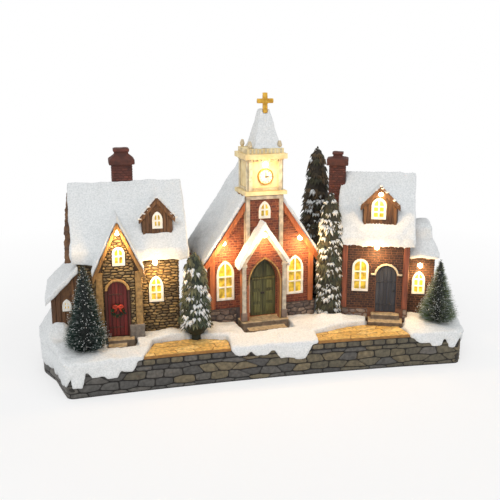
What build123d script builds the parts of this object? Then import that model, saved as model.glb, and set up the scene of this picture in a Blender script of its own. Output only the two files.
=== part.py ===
from build123d import *
import math
import os

# A lit village scene: stone cottage, brick church and brick townhouse on one base.
# Millimetres, +Z up, the front of the scene faces -Y, origin at the middle of the underside.

# Base
BASE_LENGTH = 304.0
BASE_DEPTH = 108.0
BASE_TOP = 21.6
FRONT_SAG = 5.0
END_WIDTH_SHARES = (0.888, 0.940, 0.990, 1.000, 0.970, 0.860)
END_DEPTH_SHARES = (-0.50, -0.21, -0.06, 0.13, 0.37, 0.50)
PLAN_CORNER_RADIUS = 5.0
BASE_WALL = 6.0
CAVITY_TOP = 17.6
RIM_WIDTH = 3.0
PLATE_GAP = 0.3
PLATE_BOTTOM = 2.2
PLATE_TOP = 3.8
BOSS_FROM_END = 28.0
BOSS_FROM_FRONT = 18.0
BOSS_FROM_BACK = 16.0
BOSS_RADIUS = 4.0
PILOT_RADIUS = 1.6
PILOT_TOP = 14.0
SCREW_RADIUS = 1.3
SCREW_TOP = 12.0
SCREW_HEAD_RADIUS = 2.8
SCREW_HEAD_BOTTOM = 0.9
PAD_RADIUS = 5.0
PAD_FROM_END = 20.0
PAD_FROM_FRONT = 36.0
PAD_FROM_BACK = 32.0

# Ground snow and paving
SNOW_OVERHANG = 2.0
SNOW_TOP = 27.4
SNOW_FRONT_TOP = 24.2
RAMP_BACK_Y = -30.0
MOUND_TOP = 38.0
MOUND_TAPER = 35.0
SWEPT_TOP = 23.2
SWEPT_MARGIN = 1.6
SWEPT_FRONT = 3.0
PAVING_THICK = 1.6
LEFT_PAVING = ((-90.0, -60.0), (-30.0, -60.0), (-28.0, -33.0), (-52.0, -25.0), (-78.0, -29.0))
RIGHT_PAVING = ((31.0, -60.0), (98.0, -60.0), (96.0, -33.0), (76.0, -25.0), (61.0, -27.0), (32.0, -36.0))
LEFT_MOUND = (
    (-150.0, -20.0),
    (-133.0, -23.0),
    (-127.0, -14.0),
    (-126.0, 34.0),
    (-142.0, 46.0),
    (-152.0, 28.0),
)
# Each drip over the front wall: middle, half width at the top, height of its tip
DRIPS = (
    (-129.0, 7.0, 6.5),
    (-116.0, 8.0, 13.0),
    (-107.0, 8.0, 11.0),
    (-97.0, 7.0, 15.0),
    (-22.0, 7.0, 18.0),
    (-8.0, 9.0, 17.0),
    (9.0, 10.0, 13.5),
    (19.0, 8.0, 12.0),
    (107.0, 8.0, 17.0),
    (116.0, 7.0, 14.0),
    (128.0, 6.0, 12.5),
)
DRIP_TIP_SHARE = 0.45

# Battery bay, switch and board
CELL_RADIUS = 5.2
CELL_LENGTH = 44.5
CELL_PITCH = 11.2
CELL_COUNT = 3
CELL_NUB_RADIUS = 1.9
CELL_NUB = 0.8
CONTACT_THICK = 0.5
CONTACT_REACH = 2.0
CONTACT_WIDTH = 7.0
CONTACT_HEIGHT = 8.0
BOX_WALL = 1.5
BOX_FROM_END = 60.5
BOX_FROM_BACK = 31.5
BOX_ROOF = 1.2
BOX_ROOF_TOP = 16.4
CELL_LIFT = 0.5
DOOR_GAP = 0.5
DOOR_PLATE_THICK = 1.4
HINGE_RADIUS = 1.3
HINGE_PIN_RADIUS = 0.7
HINGE_PIN_REACH = 1.2
HINGE_CLEARANCE = 0.35
HINGE_BLOCK = 2.4
SWITCH_FROM_END = 112.0
SWITCH_FROM_BACK = 30.0
SWITCH_LENGTH = 14.0
SWITCH_WIDTH = 7.0
SWITCH_TOP = 10.0
SWITCH_STROKE = 4.0
SLIDER_LENGTH = 6.0
SLIDER_WIDTH = 3.6
SLIDER_HEIGHT = 3.0
SLIDER_LIFT = 0.6
KNOB_LENGTH = 3.0
KNOB_WIDTH = 2.4
KNOB_BOTTOM = 0.8
SLIDE_GAP = 0.3
BOARD_FROM_END = 148.0
BOARD_FROM_BACK = 32.0
BOARD_LENGTH = 38.0
BOARD_WIDTH = 16.0
BOARD_THICK = 1.6
CHIP_LENGTH = 6.0
CHIP_WIDTH = 4.0
CHIP_HEIGHT = 1.2
WIRE = 1.2
WIRE_LEVEL = 12.0
WIRE_HOLE_RADIUS = 3.4
SLOT_PITCH = 3.6

# Lamps, windows and doors
LAMP_RADIUS = 1.5
LAMP_HOLE_RADIUS = 1.8
LAMP_FLANGE_RADIUS = 2.2
LAMP_FLANGE = 0.8
LAMP_PROUD = 0.6
TRIM_WIDTH = 1.1
TRIM_PROUD = 0.9
TRIM_INSET = 0.7
BAR_WIDTH = 1.1
PANE_THICK = 1.0
DOOR_SET_BACK = 0.8
DOOR_THICK = 1.6
ARCH_STEPS = 8
POINT_STEPS = 4
POINT_RISE_SHARE = 1.55
PAST = 1.0

# Cottage, square to the base
COTTAGE_X = (-125.0, -58.5)
COTTAGE_Y = (-14.0, 46.0)
COTTAGE_EAVE = 80.8
COTTAGE_SLOPE = 1.25
COTTAGE_WALL = 4.0
COTTAGE_SLAB = 3.2
COTTAGE_SNOW = 6.0
COTTAGE_EAVE_OUT = 2.0
COTTAGE_VERGE = (8.0, 6.0)
COTTAGE_BARE_VERGE = 3.6
SNOW_LIP = 1.2
SNOW_LIP_GAP = 0.8
WING_MIDDLE = -99.0
WING_HALF = 15.0
WING_FRONT = -22.0
WING_EAVE = 72.9
WING_SLOPE = 2.1
WING_SLAB = 2.4
WING_SNOW = 3.6
WING_EAVE_OUT = 2.2
WING_VERGE = 3.0
WING_BACK = 6.0
COTTAGE_DORMER_MIDDLE = -71.3
COTTAGE_DORMER_HALF = 10.0
COTTAGE_DORMER_FRONT = -9.0
COTTAGE_DORMER_BACK = 12.0
COTTAGE_DORMER_TALL = 26.6
COTTAGE_DORMER_SLOPE = 1.14
DORMER_WALL = 2.5
DORMER_SNOW = 2.6
DORMER_EAVE_OUT = 2.2
DORMER_BOARD = 2.0
DORMER_BOARD_TALL = 4.2
DORMER_BOARD_DROP = 1.2
COTTAGE_CHIMNEY_MIDDLE = (-91.7, 22.0)
COTTAGE_CHIMNEY_SIZE = (13.6, 11.0)
COTTAGE_CHIMNEY_CAP_Z = (138.4, 141.8)
COTTAGE_CHIMNEY_SHOULDER = 3.6
COTTAGE_CHIMNEY_TOP = 149.5
COTTAGE_POT_SHARE = 0.7
CAP_OUT = 2.0
COTTAGE_DOOR = (-100.4, 28.0, 13.0, 38.6)
COTTAGE_GABLE_WINDOW = (-98.6, 78.2, 6.2, 10.6)
COTTAGE_WALL_WINDOW = (-73.8, 49.2, 7.8, 16.4)
COTTAGE_DORMER_WINDOW = (-71.2, 4.8)
COTTAGE_DORMER_WINDOW_SHARES = (0.337, 0.358)
ANNEX_WINDOW = (-133.4, 46.6, 3.8, 6.2)
ARCH_WIDTH = 1.8
ARCH_PROUD = 1.4
ARCH_DROP = 6.2
WREATH_Z = 46.2
WREATH_RADIUS = 3.7
WREATH_TUBE = 1.3
WREATH_THICK = 1.8
WREATH_SIDES = 14
BOW_Z = 49.0
BOW_HALF = 3.6
BOW_HEIGHT = 2.4
BOW_KNOT = 1.0
TAIL_DROP = 4.4
TAIL_OUT = 3.0
TAIL_WIDTH = 1.6
BOW_THICK = 1.2
WING_POST = 4.4
WING_POST_PROUD = 1.2
WING_POST_FOOT_Z = 36.0
FOOT_OUT = 1.0
FOOT_IN = (1.0, 4.6)
COTTAGE_STEP_X = ((-108.0, -90.2), (-108.0, -95.8))
COTTAGE_STEP_TOPS = (28.0, 25.4)
COTTAGE_STEP_RUNS = (7.5, 12.5)
ANNEX_X = -143.0
ANNEX_Y = (-13.0, 32.0)
ANNEX_ROOF_HIGH = 72.0
ANNEX_SLOPE = 1.0
ANNEX_EAVE_OUT = 4.5
ANNEX_ROOF_THICK = 5.0
ANNEX_VERGE = 3.0
ANNEX_WALL = 3.0

# Church, turned a little to its left
CHURCH_PLACE = (3.0, -4.0)
CHURCH_TURN = 5.0
CHURCH_HALF = 39.0
CHURCH_DEPTH = 50.0
CHURCH_WALL = 4.0
CHURCH_EAVE = 73.45
CHURCH_SLOPE = 1.45
CHURCH_SLAB = 3.0
CHURCH_SNOW = 4.5
CHURCH_EAVE_OUT = 5.0
CHURCH_VERGE = 2.5
PLINTH_TOP = 37.0
PLINTH_OUT = 1.2
CORNER_POST = 4.0
CORNER_POST_TOP = 73.0
TOWER_MIDDLE = 0.4
TOWER_HALF = 13.8
TOWER_V = (-3.0, 20.0)
TOWER_TOP = 117.6
TOWER_WALL = 3.0
BELFRY_MIDDLE = 1.4
BELFRY_HALF = 12.4
BELFRY_V = (-1.7, 18.7)
BELFRY_WALL = 2.5
LEDGE_OUT = 2.8
LEDGE_THICK = 2.6
BELFRY_TOP = 142.4
CORNICE_THICK = 3.6
PARAPET_OUT = 0.8
PARAPET_THICK = 3.4
CLOCK_Z = 130.2
CLOCK_RADIUS = 5.3
CLOCK_THICK = 0.9
CLOCK_HAND = 0.7
CLOCK_HAND_THICK = 0.4
CLOCK_HAND_SHARES = (0.78, 0.52)
FINIAL_RADIUS = 1.9
FINIAL_NECK_SHARE = 0.5
FINIAL_TALL = 5.2
FINIAL_BELLY_SHARE = 0.4
FINIAL_INSET = 2.4
FINIAL_SIDES = 8
SPIRE_MIDDLE = 3.4
SPIRE_HALF = 9.2
SPIRE_SKIRT_HALF = 10.4
SPIRE_SKIRT = 2.4
SPIRE_TIP_HALF = 3.2
SPIRE_TOP = 175.6
CROSS_TOP = 186.8
CROSS_SHAFT = 3.2
CROSS_THICK = 2.4
CROSS_ARM_Z = 181.2
CROSS_ARM_HALF = 5.8
CROSS_FOOT = 173.0
CROSS_FORWARD = 3.0
PORCH_MIDDLE = -2.6
PORCH_HALF = 16.4
PORCH_V = (-12.0, -7.4)
PORCH_RIDGE = 95.6
PORCH_SLOPE = 1.5
PORCH_SNOW = 5.4
PORCH_EAVE_OUT = 2.4
PORCH_VERGE = 1.8
PORCH_OPENING = (-2.4, 22.4)
PORCH_OPENING_PAST_EAVE = 3.4
CHURCH_DOOR = (-0.4, 30.0, 19.4, 42.0)
CHURCH_WINDOW_U = (-27.6, 24.8)
CHURCH_WINDOW = (44.2, 10.8, 26.8)
TOWER_WINDOW = (0.4, 102.3, 6.4, 10.2)
CHURCH_STEP_U = ((-19.5, 15.0), (-16.5, 11.5))
CHURCH_STEP_TOPS = (30.0, 26.2)
CHURCH_STEP_FRONTS = (-15.5, -21.5)

# Townhouse, turned to face the front left
TOWN_PLACE = (61.3, -8.7)
TOWN_TURN = -21.0
TOWN_WIDTH = 47.6
TOWN_DEPTH = 56.0
TOWN_WALL = 4.0
TOWN_EAVE = 82.6
TOWN_SLOPE = 1.39
TOWN_SLAB = 3.0
TOWN_SNOW = 4.5
TOWN_EAVE_OUT = 2.0
TOWN_VERGE = 2.4
TOWN_POST = 4.0
TOWN_POST_PROUD = 1.0
TOWN_PLINTH_TOP = 33.0
TOWN_DORMER_MIDDLE = 26.0
TOWN_DORMER_HALF = 11.8
TOWN_DORMER_FRONT = 4.0
TOWN_DORMER_BACK = 25.0
TOWN_DORMER_TALL = 28.2
TOWN_DORMER_SLOPE = 1.0
TOWN_DORMER_LAMP_SHARE = 0.886
TOWN_DORMER_WINDOW = (24.8, 8.2)
TOWN_DORMER_WINDOW_SHARES = (0.281, 0.466)
TOWN_CHIMNEY_U = (-11.6, 0.0)
TOWN_CHIMNEY_V = (22.0, 33.0)
TOWN_CHIMNEY_CAP_Z = (133.6, 138.4)
TOWN_CHIMNEY_SHOULDER = 1.0
TOWN_CHIMNEY_TOP = 143.2
TOWN_POT_SHARE = 0.58
TOWN_WINDOW = (13.3, 46.5, 9.6, 22.0)
TOWN_DOOR = (32.0, 30.0, 14.8, 35.4)
HOOD_WIDTH = 1.4
HOOD_PROUD = 1.8
HOOD_DROP = 7.6
HOOD_RETURN = 2.4
TOWN_STEP_U = ((22.0, 42.2), (19.8, 44.2))
TOWN_STEP_TOPS = (30.0, 26.2)
TOWN_STEP_FRONTS = (-6.5, -12.0)
TOWN_ANNEX_U = 66.4
TOWN_ANNEX_V = (11.0, 44.0)
TOWN_ANNEX_TOP = 69.0
TOWN_ANNEX_WALL = 3.0
TOWN_ANNEX_ROOF_TOP = 93.4
TOWN_ANNEX_EAVE = 3.6
TOWN_ANNEX_FLARE = 71.5
TOWN_ANNEX_BEND_IN = (3.2, 5.4, 6.0, 8.4)
TOWN_ANNEX_BEND_Z = (77.5, 82.0, 90.0)
TOWN_ANNEX_WINDOW = (55.8, 42.6, 7.2, 15.4)

# Trees: middle, radius, foot of the branches, top
TREE_SIDES = 12
FIRS = (
    ((-48.8, -25.0), 12.4, 28.0, 84.6),
    ((57.8, 43.0), 14.6, 30.0, 144.4),
    ((52.7, -6.0), 10.2, 28.0, 117.4),
)
FIR_TIER_COUNTS = (6, 9, 8)
FIR_SWELL_SHARES = (1.0, 1.27, 1.27)
FIR_POWER = 0.36
FIR_CLEARANCE = 0.3
TIER_WAIST_SHARE = 0.78
TIP_SHARE = 0.06
TRUNK_SHARE = 0.26
BRUSH_FROM_FRONT = 17.0
# Brush trees: x, radius, foot of the bristles, top
BRUSHES = (
    (-122.0, 14.4, 28.4, 84.4),
    (124.5, 14.0, 28.4, 73.0),
)
BRUSH_BELLY_SHARE = 0.16
BRUSH_FOOT_SHARE = 0.62
STEM_RADIUS = 1.6
STEM_SIDES = 6
STEM_TOP_SHARE = 0.9

# Lamps: x or u of each, and height
COTTAGE_GABLE_LAMP = (-99.0, 99.2)
COTTAGE_WALL_LAMP = (-74.0, 75.6)
CHURCH_EAVE_LAMPS = ((-28.6, 84.6), (28.6, 84.6))
PORCH_LAMP_BELOW_RIDGE = 4.4
BELFRY_LAMP = (1.4, 138.4)
TOWN_DORMER_LAMP_U = 25.9
TOWN_WALL_LAMP = (24.4, 78.2)
TOWN_ANNEX_LAMP = (56.4, 63.0)
DROP_BACK = 4.0
DORMER_DROP = 9.0
PORCH_DROP_V = 7.0
BELFRY_DROP_V = 12.0


def block(x_range, y_range, z_range):
    sizes = [high - low for low, high in (x_range, y_range, z_range)]
    middles = [(high + low) / 2 for low, high in (x_range, y_range, z_range)]
    return Pos(*middles) * Box(*sizes)


def around(middle, half):
    return (middle - half, middle + half)


def prism_y(outline, y_range):
    wire = Polyline(*[(x, y_range[0], z) for x, z in outline], close=True)
    return extrude(make_face(wire), amount=y_range[1] - y_range[0], dir=(0, 1, 0))


def prism_x(outline, x_range):
    wire = Polyline(*[(x_range[0], y, z) for y, z in outline], close=True)
    return extrude(make_face(wire), amount=x_range[1] - x_range[0], dir=(1, 0, 0))


def prism_z(outline, z_range):
    wire = Polyline(*[(x, y, z_range[0]) for x, y in outline], close=True)
    return extrude(make_face(wire), amount=z_range[1] - z_range[0], dir=(0, 0, 1))


def flat_prism(face, z_range):
    return Pos(0, 0, z_range[0]) * extrude(face, amount=z_range[1] - z_range[0])


def upright(middle, radius, z_range):
    height = z_range[1] - z_range[0]
    return Pos(middle[0], middle[1], z_range[0] + height / 2) * Cylinder(radius, height)


def along_y(x, z, radius, y_range):
    length = y_range[1] - y_range[0]
    return Pos(x, y_range[0] + length / 2, z) * Rot(90, 0, 0) * Cylinder(radius, length)


def along_x(y, z, radius, x_range):
    length = x_range[1] - x_range[0]
    return Pos(x_range[0] + length / 2, y, z) * Rot(0, 90, 0) * Cylinder(radius, length)


def gable(middle, half, foot, ridge, slope):
    return [
        (middle - half, foot),
        (middle + half, foot),
        (middle + half, ridge - slope * half),
        (middle, ridge),
        (middle - half, ridge - slope * half),
    ]


def chevron(middle, half, ridge, slope, thick):
    drop = slope * half
    return [
        (middle - half, ridge - drop),
        (middle, ridge),
        (middle + half, ridge - drop),
        (middle + half, ridge - drop + thick),
        (middle, ridge + thick),
        (middle - half, ridge - drop + thick),
    ]


def blanket(middle, half, ridge, slope, slab, snow):
    return chevron(middle, half + SNOW_LIP, ridge + SNOW_LIP_GAP, slope, slab + snow - SNOW_LIP_GAP)


def under(middle, half, ridge, slope):
    drop = slope * half
    return [(middle - half, ridge - drop), (middle + half, ridge - drop), (middle, ridge)]


def ring(middle, radius, sides, z):
    step = 2 * math.pi / sides
    return [
        (middle[0] + radius * math.cos(step * i), middle[1] + radius * math.sin(step * i), z)
        for i in range(sides)
    ]


def frustum(rings):
    faces = [make_face(Polyline(*points, close=True)) for points in rings]
    return loft(faces, ruled=True)


def rectangle_ring(x_range, y_range, z):
    return [
        (x_range[0], y_range[0], z),
        (x_range[1], y_range[0], z),
        (x_range[1], y_range[1], z),
        (x_range[0], y_range[1], z),
    ]


def arch_outline(middle, sill, width, height, kind, grow=0.0):
    half = width / 2 + grow
    top = sill + height + grow
    points = [(middle - half, sill - grow), (middle + half, sill - grow)]
    if kind == "round":
        spring = top - half
        for i in range(ARCH_STEPS + 1):
            angle = math.pi * i / ARCH_STEPS
            points.append((middle + half * math.cos(angle), spring + half * math.sin(angle)))
        return points
    rise = half * POINT_RISE_SHARE
    spring = top - rise
    radius = (half * half + rise * rise) / (2 * half)
    sweep = math.asin(rise / radius)
    right = []
    for i in range(POINT_STEPS + 1):
        angle = sweep * i / POINT_STEPS
        right.append((half - radius + radius * math.cos(angle), spring + radius * math.sin(angle)))
    right[-1] = (0, top)
    points += [(middle + x, z) for x, z in right]
    points += [(middle - x, z) for x, z in reversed(right[:-1])]
    return points


def window(middle, sill, width, height, kind, face, wall, bar_shares):
    hole = prism_y(arch_outline(middle, sill, width, height, kind), (face - PAST, face + wall + PAST))
    pane = prism_y(arch_outline(middle, sill, width, height, kind), (face, face + PANE_THICK))
    front = (face - TRIM_PROUD, face)
    whole = prism_y(arch_outline(middle, sill, width, height, kind, TRIM_WIDTH), front)
    inside = prism_y(arch_outline(middle, sill, width, height, kind, -TRIM_INSET), front)
    bars = block(around(middle, BAR_WIDTH / 2), front, (sill, sill + height))
    for share in bar_shares:
        level = sill + height * share
        bars += block(around(middle, width / 2), front, around(level, BAR_WIDTH / 2))
    frame = (whole - inside) + (bars & inside)
    return frame, pane, hole


def door(middle, sill, width, height, kind, face, wall):
    outline = arch_outline(middle, sill, width, height, kind)
    hole = prism_y(outline, (face - PAST, face + wall + PAST))
    leaf = prism_y(outline, (face + DOOR_SET_BACK, face + DOOR_SET_BACK + DOOR_THICK))
    return leaf, hole


def lamp(x, z, face, wall):
    inner = face + wall
    flange = along_y(x, z, LAMP_FLANGE_RADIUS, (inner, inner + LAMP_FLANGE))
    body = along_y(x, z, LAMP_RADIUS, (face - LAMP_PROUD, inner))
    tip = Pos(x, face - LAMP_PROUD, z) * Sphere(LAMP_RADIUS)
    hole = along_y(x, z, LAMP_HOLE_RADIUS, (face - PAST, inner))
    return flange + body + tip, hole


def lead(x, z, start, drop):
    run = block(around(x, WIRE / 2), (start, drop + WIRE / 2), around(z, WIRE / 2))
    fall = block(around(x, WIRE / 2), around(drop, WIRE / 2), (WIRE_LEVEL, z + WIRE / 2))
    return run + fall


def placed(shape, place, turn):
    return Location((place[0], place[1], 0), (0, 0, turn)) * shape


def spot(point, place, turn):
    angle = math.radians(turn)
    x = place[0] + point[0] * math.cos(angle) - point[1] * math.sin(angle)
    y = place[1] + point[0] * math.sin(angle) + point[1] * math.cos(angle)
    return (x, y)


parts = {}
frames = []
panes = []
lamps = []
wires = []
drops = []
footprints = []
swept = []

# Plan of the base: bowed front edge and splayed, rounded ends.
half_length = BASE_LENGTH / 2
half_depth = BASE_DEPTH / 2
right_end = [(half_length * w, BASE_DEPTH * d) for w, d in zip(END_WIDTH_SHARES, END_DEPTH_SHARES)]
left_end = [(-x, y) for x, y in reversed(right_end)]
front_bow = ThreePointArc(left_end[-1], (0, -BASE_DEPTH / 2 + FRONT_SAG), right_end[0])
plan = make_face(Polyline(*right_end, *left_end) + front_bow)
plan = fillet(plan.vertices(), radius=PLAN_CORNER_RADIUS)

# Cottage walls: a main block along X with a gabled wing towards the front.
cottage_middle_y = sum(COTTAGE_Y) / 2
cottage_half = (COTTAGE_Y[1] - COTTAGE_Y[0]) / 2
cottage_ridge = COTTAGE_EAVE + COTTAGE_SLOPE * cottage_half
wing_ridge = WING_EAVE + WING_SLOPE * WING_HALF
main_solid = prism_x(gable(cottage_middle_y, cottage_half, BASE_TOP, cottage_ridge, COTTAGE_SLOPE), COTTAGE_X)
main_inside = prism_x(
    gable(cottage_middle_y, cottage_half - COTTAGE_WALL, BASE_TOP, cottage_ridge, COTTAGE_SLOPE),
    (COTTAGE_X[0] + COTTAGE_WALL, COTTAGE_X[1] - COTTAGE_WALL),
)
wing_solid = prism_y(
    gable(WING_MIDDLE, WING_HALF, BASE_TOP, wing_ridge, WING_SLOPE), (WING_FRONT, WING_BACK)
)
wing_inside = prism_y(
    gable(WING_MIDDLE, WING_HALF - COTTAGE_WALL, BASE_TOP, wing_ridge, WING_SLOPE),
    (WING_FRONT + COTTAGE_WALL, WING_BACK),
)
cottage_walls = main_solid + wing_solid - main_inside - wing_inside

cottage_x_out = (COTTAGE_X[0] - COTTAGE_VERGE[0], COTTAGE_X[1] + COTTAGE_VERGE[1])
cottage_reach = cottage_half + COTTAGE_EAVE_OUT
main_below = prism_x(under(cottage_middle_y, cottage_reach, cottage_ridge, COTTAGE_SLOPE), cottage_x_out)
main_slab = prism_x(
    chevron(cottage_middle_y, cottage_reach, cottage_ridge, COTTAGE_SLOPE, COTTAGE_SLAB), cottage_x_out
)
snow_x = (cottage_x_out[0] + COTTAGE_BARE_VERGE, cottage_x_out[1] + SNOW_LIP)
main_snow = prism_x(
    blanket(cottage_middle_y, cottage_reach, cottage_ridge, COTTAGE_SLOPE, COTTAGE_SLAB, COTTAGE_SNOW), snow_x
)
wing_reach = WING_HALF + WING_EAVE_OUT
wing_y_out = (WING_FRONT - WING_VERGE, WING_BACK)
wing_below = prism_y(under(WING_MIDDLE, wing_reach, wing_ridge, WING_SLOPE), wing_y_out)
wing_slab = prism_y(chevron(WING_MIDDLE, wing_reach, wing_ridge, WING_SLOPE, WING_SLAB), wing_y_out)
wing_snow = prism_y(
    chevron(WING_MIDDLE, wing_reach, wing_ridge + WING_SLAB, WING_SLOPE, WING_SNOW), wing_y_out
)
cottage_below = main_solid + wing_solid + main_below + wing_below
cottage_roof = main_slab + wing_slab - cottage_below
cottage_snow = main_snow + wing_snow - cottage_below - main_slab - wing_slab

# Cottage dormer, standing on the roof slab.
dormer_foot = COTTAGE_EAVE + COTTAGE_SLOPE * (COTTAGE_DORMER_FRONT - COTTAGE_Y[0]) + COTTAGE_SLAB
dormer_ridge = dormer_foot + COTTAGE_DORMER_TALL
dormer_y = (COTTAGE_DORMER_FRONT, COTTAGE_DORMER_BACK)
dormer_solid = prism_y(
    gable(COTTAGE_DORMER_MIDDLE, COTTAGE_DORMER_HALF, BASE_TOP, dormer_ridge, COTTAGE_DORMER_SLOPE),
    dormer_y,
)
dormer_inside = prism_y(
    gable(
        COTTAGE_DORMER_MIDDLE,
        COTTAGE_DORMER_HALF - DORMER_WALL,
        BASE_TOP,
        dormer_ridge,
        COTTAGE_DORMER_SLOPE,
    ),
    (COTTAGE_DORMER_FRONT + DORMER_WALL, COTTAGE_DORMER_BACK),
)
dormer_reach = COTTAGE_DORMER_HALF + DORMER_EAVE_OUT
dormer_snow = prism_y(
    chevron(COTTAGE_DORMER_MIDDLE, dormer_reach, dormer_ridge, COTTAGE_DORMER_SLOPE, DORMER_SNOW), dormer_y
)
dormer_boards = prism_y(
    chevron(
        COTTAGE_DORMER_MIDDLE,
        dormer_reach,
        dormer_ridge - DORMER_BOARD_DROP,
        COTTAGE_DORMER_SLOPE,
        DORMER_BOARD_TALL,
    ),
    (COTTAGE_DORMER_FRONT - DORMER_BOARD, COTTAGE_DORMER_FRONT),
)
cottage_dormer = dormer_solid - dormer_inside + dormer_boards - cottage_below - main_slab
cottage_snow = cottage_snow + (dormer_snow - cottage_below - main_slab) - dormer_solid - dormer_boards

# Cottage chimney through the back slope.
chimney_x = around(COTTAGE_CHIMNEY_MIDDLE[0], COTTAGE_CHIMNEY_SIZE[0] / 2)
chimney_y = around(COTTAGE_CHIMNEY_MIDDLE[1], COTTAGE_CHIMNEY_SIZE[1] / 2)


def chimney(x_range, y_range, foot, cap_z, shoulder, top, pot_share):
    shaft = block(x_range, y_range, (foot, cap_z[0]))
    cap_x = (x_range[0] - CAP_OUT, x_range[1] + CAP_OUT)
    cap_y = (y_range[0] - CAP_OUT, y_range[1] + CAP_OUT)
    middle_x = sum(x_range) / 2
    middle_y = sum(y_range) / 2
    pot_x = around(middle_x, (x_range[1] - x_range[0]) / 2 * pot_share)
    pot_y = around(middle_y, (y_range[1] - y_range[0]) / 2 * pot_share)
    cap = frustum(
        [
            rectangle_ring(cap_x, cap_y, cap_z[0]),
            rectangle_ring(cap_x, cap_y, cap_z[1]),
            rectangle_ring(pot_x, pot_y, cap_z[1] + shoulder),
            rectangle_ring(pot_x, pot_y, top),
        ]
    )
    return shaft + cap


cottage_chimney = chimney(
    chimney_x,
    chimney_y,
    BASE_TOP,
    COTTAGE_CHIMNEY_CAP_Z,
    COTTAGE_CHIMNEY_SHOULDER,
    COTTAGE_CHIMNEY_TOP,
    COTTAGE_POT_SHARE,
)
cottage_chimney = cottage_chimney - cottage_below - main_slab
cottage_snow = cottage_snow - cottage_chimney

# Cottage openings.
wing_door, hole = door(*COTTAGE_DOOR, "round", WING_FRONT, COTTAGE_WALL)
cottage_walls = cottage_walls - hole
for place, kind, face, wall, bar_shares in (
    (COTTAGE_GABLE_WINDOW, "round", WING_FRONT, COTTAGE_WALL, (0.5,)),
    (COTTAGE_WALL_WINDOW, "pointed", COTTAGE_Y[0], COTTAGE_WALL, (0.34, 0.66)),
):
    frame, pane, hole = window(*place, kind, face, wall, bar_shares)
    frames.append(frame)
    panes.append(pane)
    cottage_walls = cottage_walls - hole
sill_share, height_share = COTTAGE_DORMER_WINDOW_SHARES
dormer_sill = dormer_foot + COTTAGE_DORMER_TALL * sill_share
dormer_window_height = COTTAGE_DORMER_TALL * height_share
frame, pane, hole = window(
    COTTAGE_DORMER_WINDOW[0],
    dormer_sill,
    COTTAGE_DORMER_WINDOW[1],
    dormer_window_height,
    "pointed",
    COTTAGE_DORMER_FRONT,
    DORMER_WALL,
    (0.45,),
)
frames.append(frame)
panes.append(pane)
cottage_dormer = cottage_dormer - hole

for x, z, face, wall in (
    (*COTTAGE_GABLE_LAMP, WING_FRONT, COTTAGE_WALL),
    (*COTTAGE_WALL_LAMP, COTTAGE_Y[0], COTTAGE_WALL),
):
    bulb, hole = lamp(x, z, face, wall)
    lamps.append(bulb)
    cottage_walls = cottage_walls - hole
    start = face + wall + LAMP_FLANGE
    wires.append(lead(x, z, start, start + DROP_BACK))
    drops.append((x, start + DROP_BACK))

# Cottage trim: door arch, wreath, posts, steps.
door_x, door_sill, door_width, door_height = COTTAGE_DOOR
arch_y = (WING_FRONT - ARCH_PROUD, WING_FRONT)
door_arch = prism_y(arch_outline(*COTTAGE_DOOR, "round", ARCH_WIDTH), arch_y)
door_arch = door_arch - prism_y(arch_outline(*COTTAGE_DOOR, "round"), arch_y)
arch_low = door_sill + door_height - ARCH_DROP
door_arch = door_arch - block(around(door_x, door_width), arch_y, (BASE_TOP, arch_low))
leaf_face = WING_FRONT + DOOR_SET_BACK


def side_ring(radius):
    step = 2 * math.pi / WREATH_SIDES
    return [
        (door_x + radius * math.cos(step * i), WREATH_Z + radius * math.sin(step * i))
        for i in range(WREATH_SIDES)
    ]


wreath_y = (leaf_face - WREATH_THICK, leaf_face)
wreath = prism_y(side_ring(WREATH_RADIUS + WREATH_TUBE), wreath_y)
wreath = wreath - prism_y(side_ring(WREATH_RADIUS - WREATH_TUBE), wreath_y)
bow_outline = [
    (door_x - BOW_HALF, BOW_Z - BOW_HEIGHT),
    (door_x - BOW_KNOT, BOW_Z - BOW_KNOT),
    (door_x + BOW_KNOT, BOW_Z - BOW_KNOT),
    (door_x + BOW_HALF, BOW_Z - BOW_HEIGHT),
    (door_x + BOW_HALF, BOW_Z + BOW_HEIGHT),
    (door_x + BOW_KNOT, BOW_Z + BOW_KNOT),
    (door_x - BOW_KNOT, BOW_Z + BOW_KNOT),
    (door_x - BOW_HALF, BOW_Z + BOW_HEIGHT),
]
bow_y = (wreath_y[0] - BOW_THICK, wreath_y[0])
bow = prism_y(bow_outline, bow_y)
for side in (-1, 1):
    tail = [
        (door_x, BOW_Z),
        (door_x + side * BOW_KNOT, BOW_Z),
        (door_x + side * TAIL_OUT, BOW_Z - TAIL_DROP),
        (door_x + side * (TAIL_OUT - TAIL_WIDTH), BOW_Z - TAIL_DROP),
    ]
    bow += prism_y(tail, bow_y)

post_y = (WING_FRONT - WING_POST_PROUD, WING_FRONT)
cottage_posts = []
for side, foot_in in zip((-1, 1), FOOT_IN):
    edge = WING_MIDDLE + side * WING_HALF
    inner = edge - side * WING_POST
    reach = (min(edge, inner), max(edge, inner))
    cottage_posts.append(block(reach, post_y, (WING_POST_FOOT_Z, WING_EAVE)))
    foot_ends = (edge + side * FOOT_OUT, inner - side * foot_in)
    foot_x = (min(foot_ends), max(foot_ends))
    foot = block(foot_x, (post_y[0] - FOOT_OUT, WING_FRONT), (BASE_TOP, WING_POST_FOOT_Z))
    cottage_posts.append(foot - wing_solid)

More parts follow.
